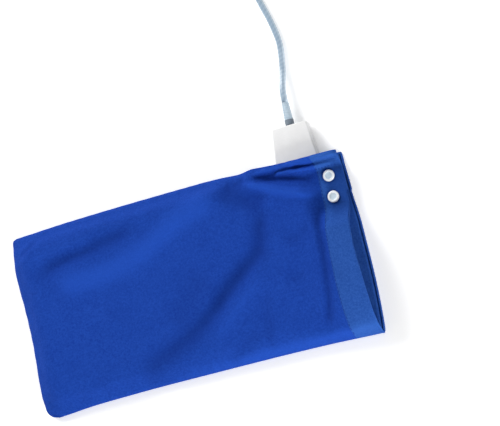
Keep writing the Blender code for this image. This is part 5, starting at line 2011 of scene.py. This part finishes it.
@dataclass(frozen=True)
class Studio:
    """The camera at the photograph's viewing angle, a pale floor and soft lamps."""

    target: Place = (0.0646, 0.0539, 0.0)
    azimuth: float = math.radians(-29.79)
    elevation: float = math.radians(70.84)
    roll: float = math.radians(-74.0)
    distance: float = 2.5
    lens: float = 195.12
    sensor: float = 36.0
    floor_size: float = 12.0
    floor_colour: Colour = (0.85, 0.85, 0.85)
    floor_seen: Colour = (0.98, 0.98, 0.98)
    floor_glow: Colour = (0.30, 0.30, 0.30)
    surround: float = 0.30
    lamps: tuple[Lamp, ...] = (
        Lamp("key", 151.0, 1.95, (-1.95, 2.85, 2.03)),
        Lamp("fill", 138.0, 1.8, (1.8, -3.0, 1.2)),
    )

    def build(self) -> None:
        """Makes the camera, the floor, the world and the lamps."""
        self.camera()
        self.floor()
        self.world()
        for lamp in self.lamps:
            lamp.build(Vector(self.target))
        bpy.context.scene.view_settings.view_transform = "Standard"

    def camera(self) -> None:
        """Aims a long lens at the mitt."""
        flat, up = math.cos(self.elevation), math.sin(self.elevation)
        back = Vector((math.cos(self.azimuth) * flat, math.sin(self.azimuth) * flat, up))
        right = Vector((0, 0, 1)).cross(back).normalized()
        raised = back.cross(right)
        turned_right = right * math.cos(self.roll) + raised * math.sin(self.roll)
        turned_up = raised * math.cos(self.roll) - right * math.sin(self.roll)
        data = bpy.data.cameras.new("camera")
        data.lens = self.lens
        data.sensor_width = self.sensor
        camera = bpy.data.objects.new("camera", data)
        turn = Matrix((turned_right, turned_up, back)).transposed().to_4x4()
        camera.matrix_world = Matrix.Translation(Vector(self.target) + self.distance * back) @ turn
        bpy.context.scene.collection.objects.link(camera)
        bpy.context.scene.camera = camera

    def floor(self) -> None:
        """A wide pale floor that the camera sees as white where no shadow falls."""
        shape = bmesh.new()
        bmesh.ops.create_grid(shape, x_segments=1, y_segments=1, size=self.floor_size / 2)
        shader = Shader("floor", Roughness=0.9, Emission_Strength=1.0)
        seen = seen_rays(shader.tree)
        shader.feed("Base Color", shader.blended(seen, self.floor_colour, self.floor_seen))
        shader.feed("Emission Color", shader.blended(seen, (0.0, 0.0, 0.0), self.floor_glow))
        item = finished("floor", shape, shader.material)

    def world(self) -> None:
        """A plain white surround."""
        world = bpy.data.worlds.new("surround")
        world.use_nodes = True
        background = world.node_tree.nodes["Background"]
        background.inputs["Color"].default_value = (1.0, 1.0, 1.0, 1.0)
        strength = seen_rays(world.node_tree) * (1.0 - self.surround) + self.surround
        world.node_tree.links.new(strength.socket, background.inputs["Strength"])
        bpy.context.scene.world = world


def build_mitt() -> None:
    """The bag with its snaps, and the heated liner inside it."""
    knit = Knit("blue_knit", (0.005, 0.038, 0.292), (0.014, 0.072, 0.44), (0.003, 0.022, 0.185)).material()
    band = Knit("band_knit", (0.013, 0.063, 0.31), (0.029, 0.112, 0.45), (0.006, 0.035, 0.20)).material()
    thread = Thread("blue_thread", (0.010, 0.050, 0.34), (0.005, 0.030, 0.22)).material()
    form = CoverForm()
    Bag(form, knit, band, thread).build()
    snap = Moulded("snap_plastic", (0.84, 0.88, 0.90), (0.90, 0.92, 0.93), 0.30, clear=0.3).material()
    # The darker finish of the snaps' dishes is painted shade
    dish = Moulded("snap_dish_painted_shade", (0.56, 0.68, 0.78), (0.62, 0.73, 0.81), 0.35).material()
    Snaps(form, snap, dish).build()
    vinyl = Moulded("liner_vinyl", (0.70, 0.70, 0.67), (0.78, 0.78, 0.75), 0.5, 0.00008, 500.0).material()
    felt = Felt("liner_felt", (0.52, 0.52, 0.50), (0.70, 0.70, 0.68)).material()
    wire = Thread("heating_wire_cover", (0.74, 0.68, 0.52), (0.50, 0.42, 0.28)).material()
    tape = Felt("edge_tape_cloth", (0.66, 0.66, 0.62), (0.78, 0.78, 0.74)).material()
    Liner(form, vinyl, felt, wire, tape).build()
    redressed(vinyl, "lead_sleeve")


def build_wiring() -> None:
    """The terminal block, the hand control, the plug and the cords between them."""
    cord = TwinCord("cord_vinyl", (0.62, 0.73, 0.82), (0.26, 0.36, 0.47), math.tau * 0.0029).material()
    collar = Moulded("collar_vinyl", (0.48, 0.60, 0.70), (0.56, 0.67, 0.76), 0.34, clear=0.2).material()
    # The collars' darker roots are painted shade
    root_shade = Moulded("collar_root_shade_vinyl", (0.16, 0.20, 0.25), (0.22, 0.27, 0.32), 0.4).material()
    white = Moulded("housing_plastic", (0.86, 0.86, 0.86), (0.90, 0.90, 0.90), 0.38).material()
    dark = Moulded("dark_plastic", (0.018, 0.019, 0.021), (0.035, 0.036, 0.038), 0.45).material()
    moulded = Moulded("plug_vinyl", (0.34, 0.49, 0.62), (0.42, 0.56, 0.68), 0.36, clear=0.15).material()
    lens = Moulded("lens_plastic", (0.55, 0.05, 0.015), (0.62, 0.09, 0.03), 0.15, 1e-5, clear=0.6).material()
    laminate = Moulded("board_laminate", (0.30, 0.19, 0.07), (0.36, 0.24, 0.10), 0.55).material()
    steel = Metal("screw_steel", (0.62, 0.62, 0.60)).material()
    nickel = Metal("blade_nickel", (0.78, 0.72, 0.58), 0.22, (12.0, 1.0, 1.0)).material()
    relief = Relief(collar, root_shade)
    TerminalBlock(white, steel, relief).build()
    HandControl(dark, relief).build()
    Plug(moulded, relief).build()
    CordTie(dark).build()
    redressed(white, "control_lower_shell", "control_upper_shell")
    redressed(steel, "control_screw_1", "control_screw_2", "thermal_cutout")
    redressed(dark, "slide_switch", "lead_splice")
    redressed(laminate, "control_board")
    redressed(nickel, "plug_blade_1", "plug_blade_2")
    redressed(lens, "indicator_lens")
    on_lead = ["control_upper_shell", "control_lower_shell", "control_board", "slide_switch"]
    on_lead += ["indicator_lens", "control_screw_1", "control_screw_2", "control_sliding_knob"]
    on_lead += ["control_cord_collar_1", "block_cord_collar"]
    on_supply = ["plug_moulding", "plug_blade_1", "plug_blade_2", "plug_cord_collar"]
    on_supply += ["control_cord_collar_2", "coil_strap"]
    Cords().build(cord, on_lead, on_supply)


def main() -> None:
    """Builds the studio and every sub-assembly in order."""
    logging.basicConfig(level=logging.INFO, format="%(name)s: %(message)s", stream=sys.stdout)
    Studio().build()
    build_mitt()
    build_wiring()


if __name__ == "__main__":
    main()
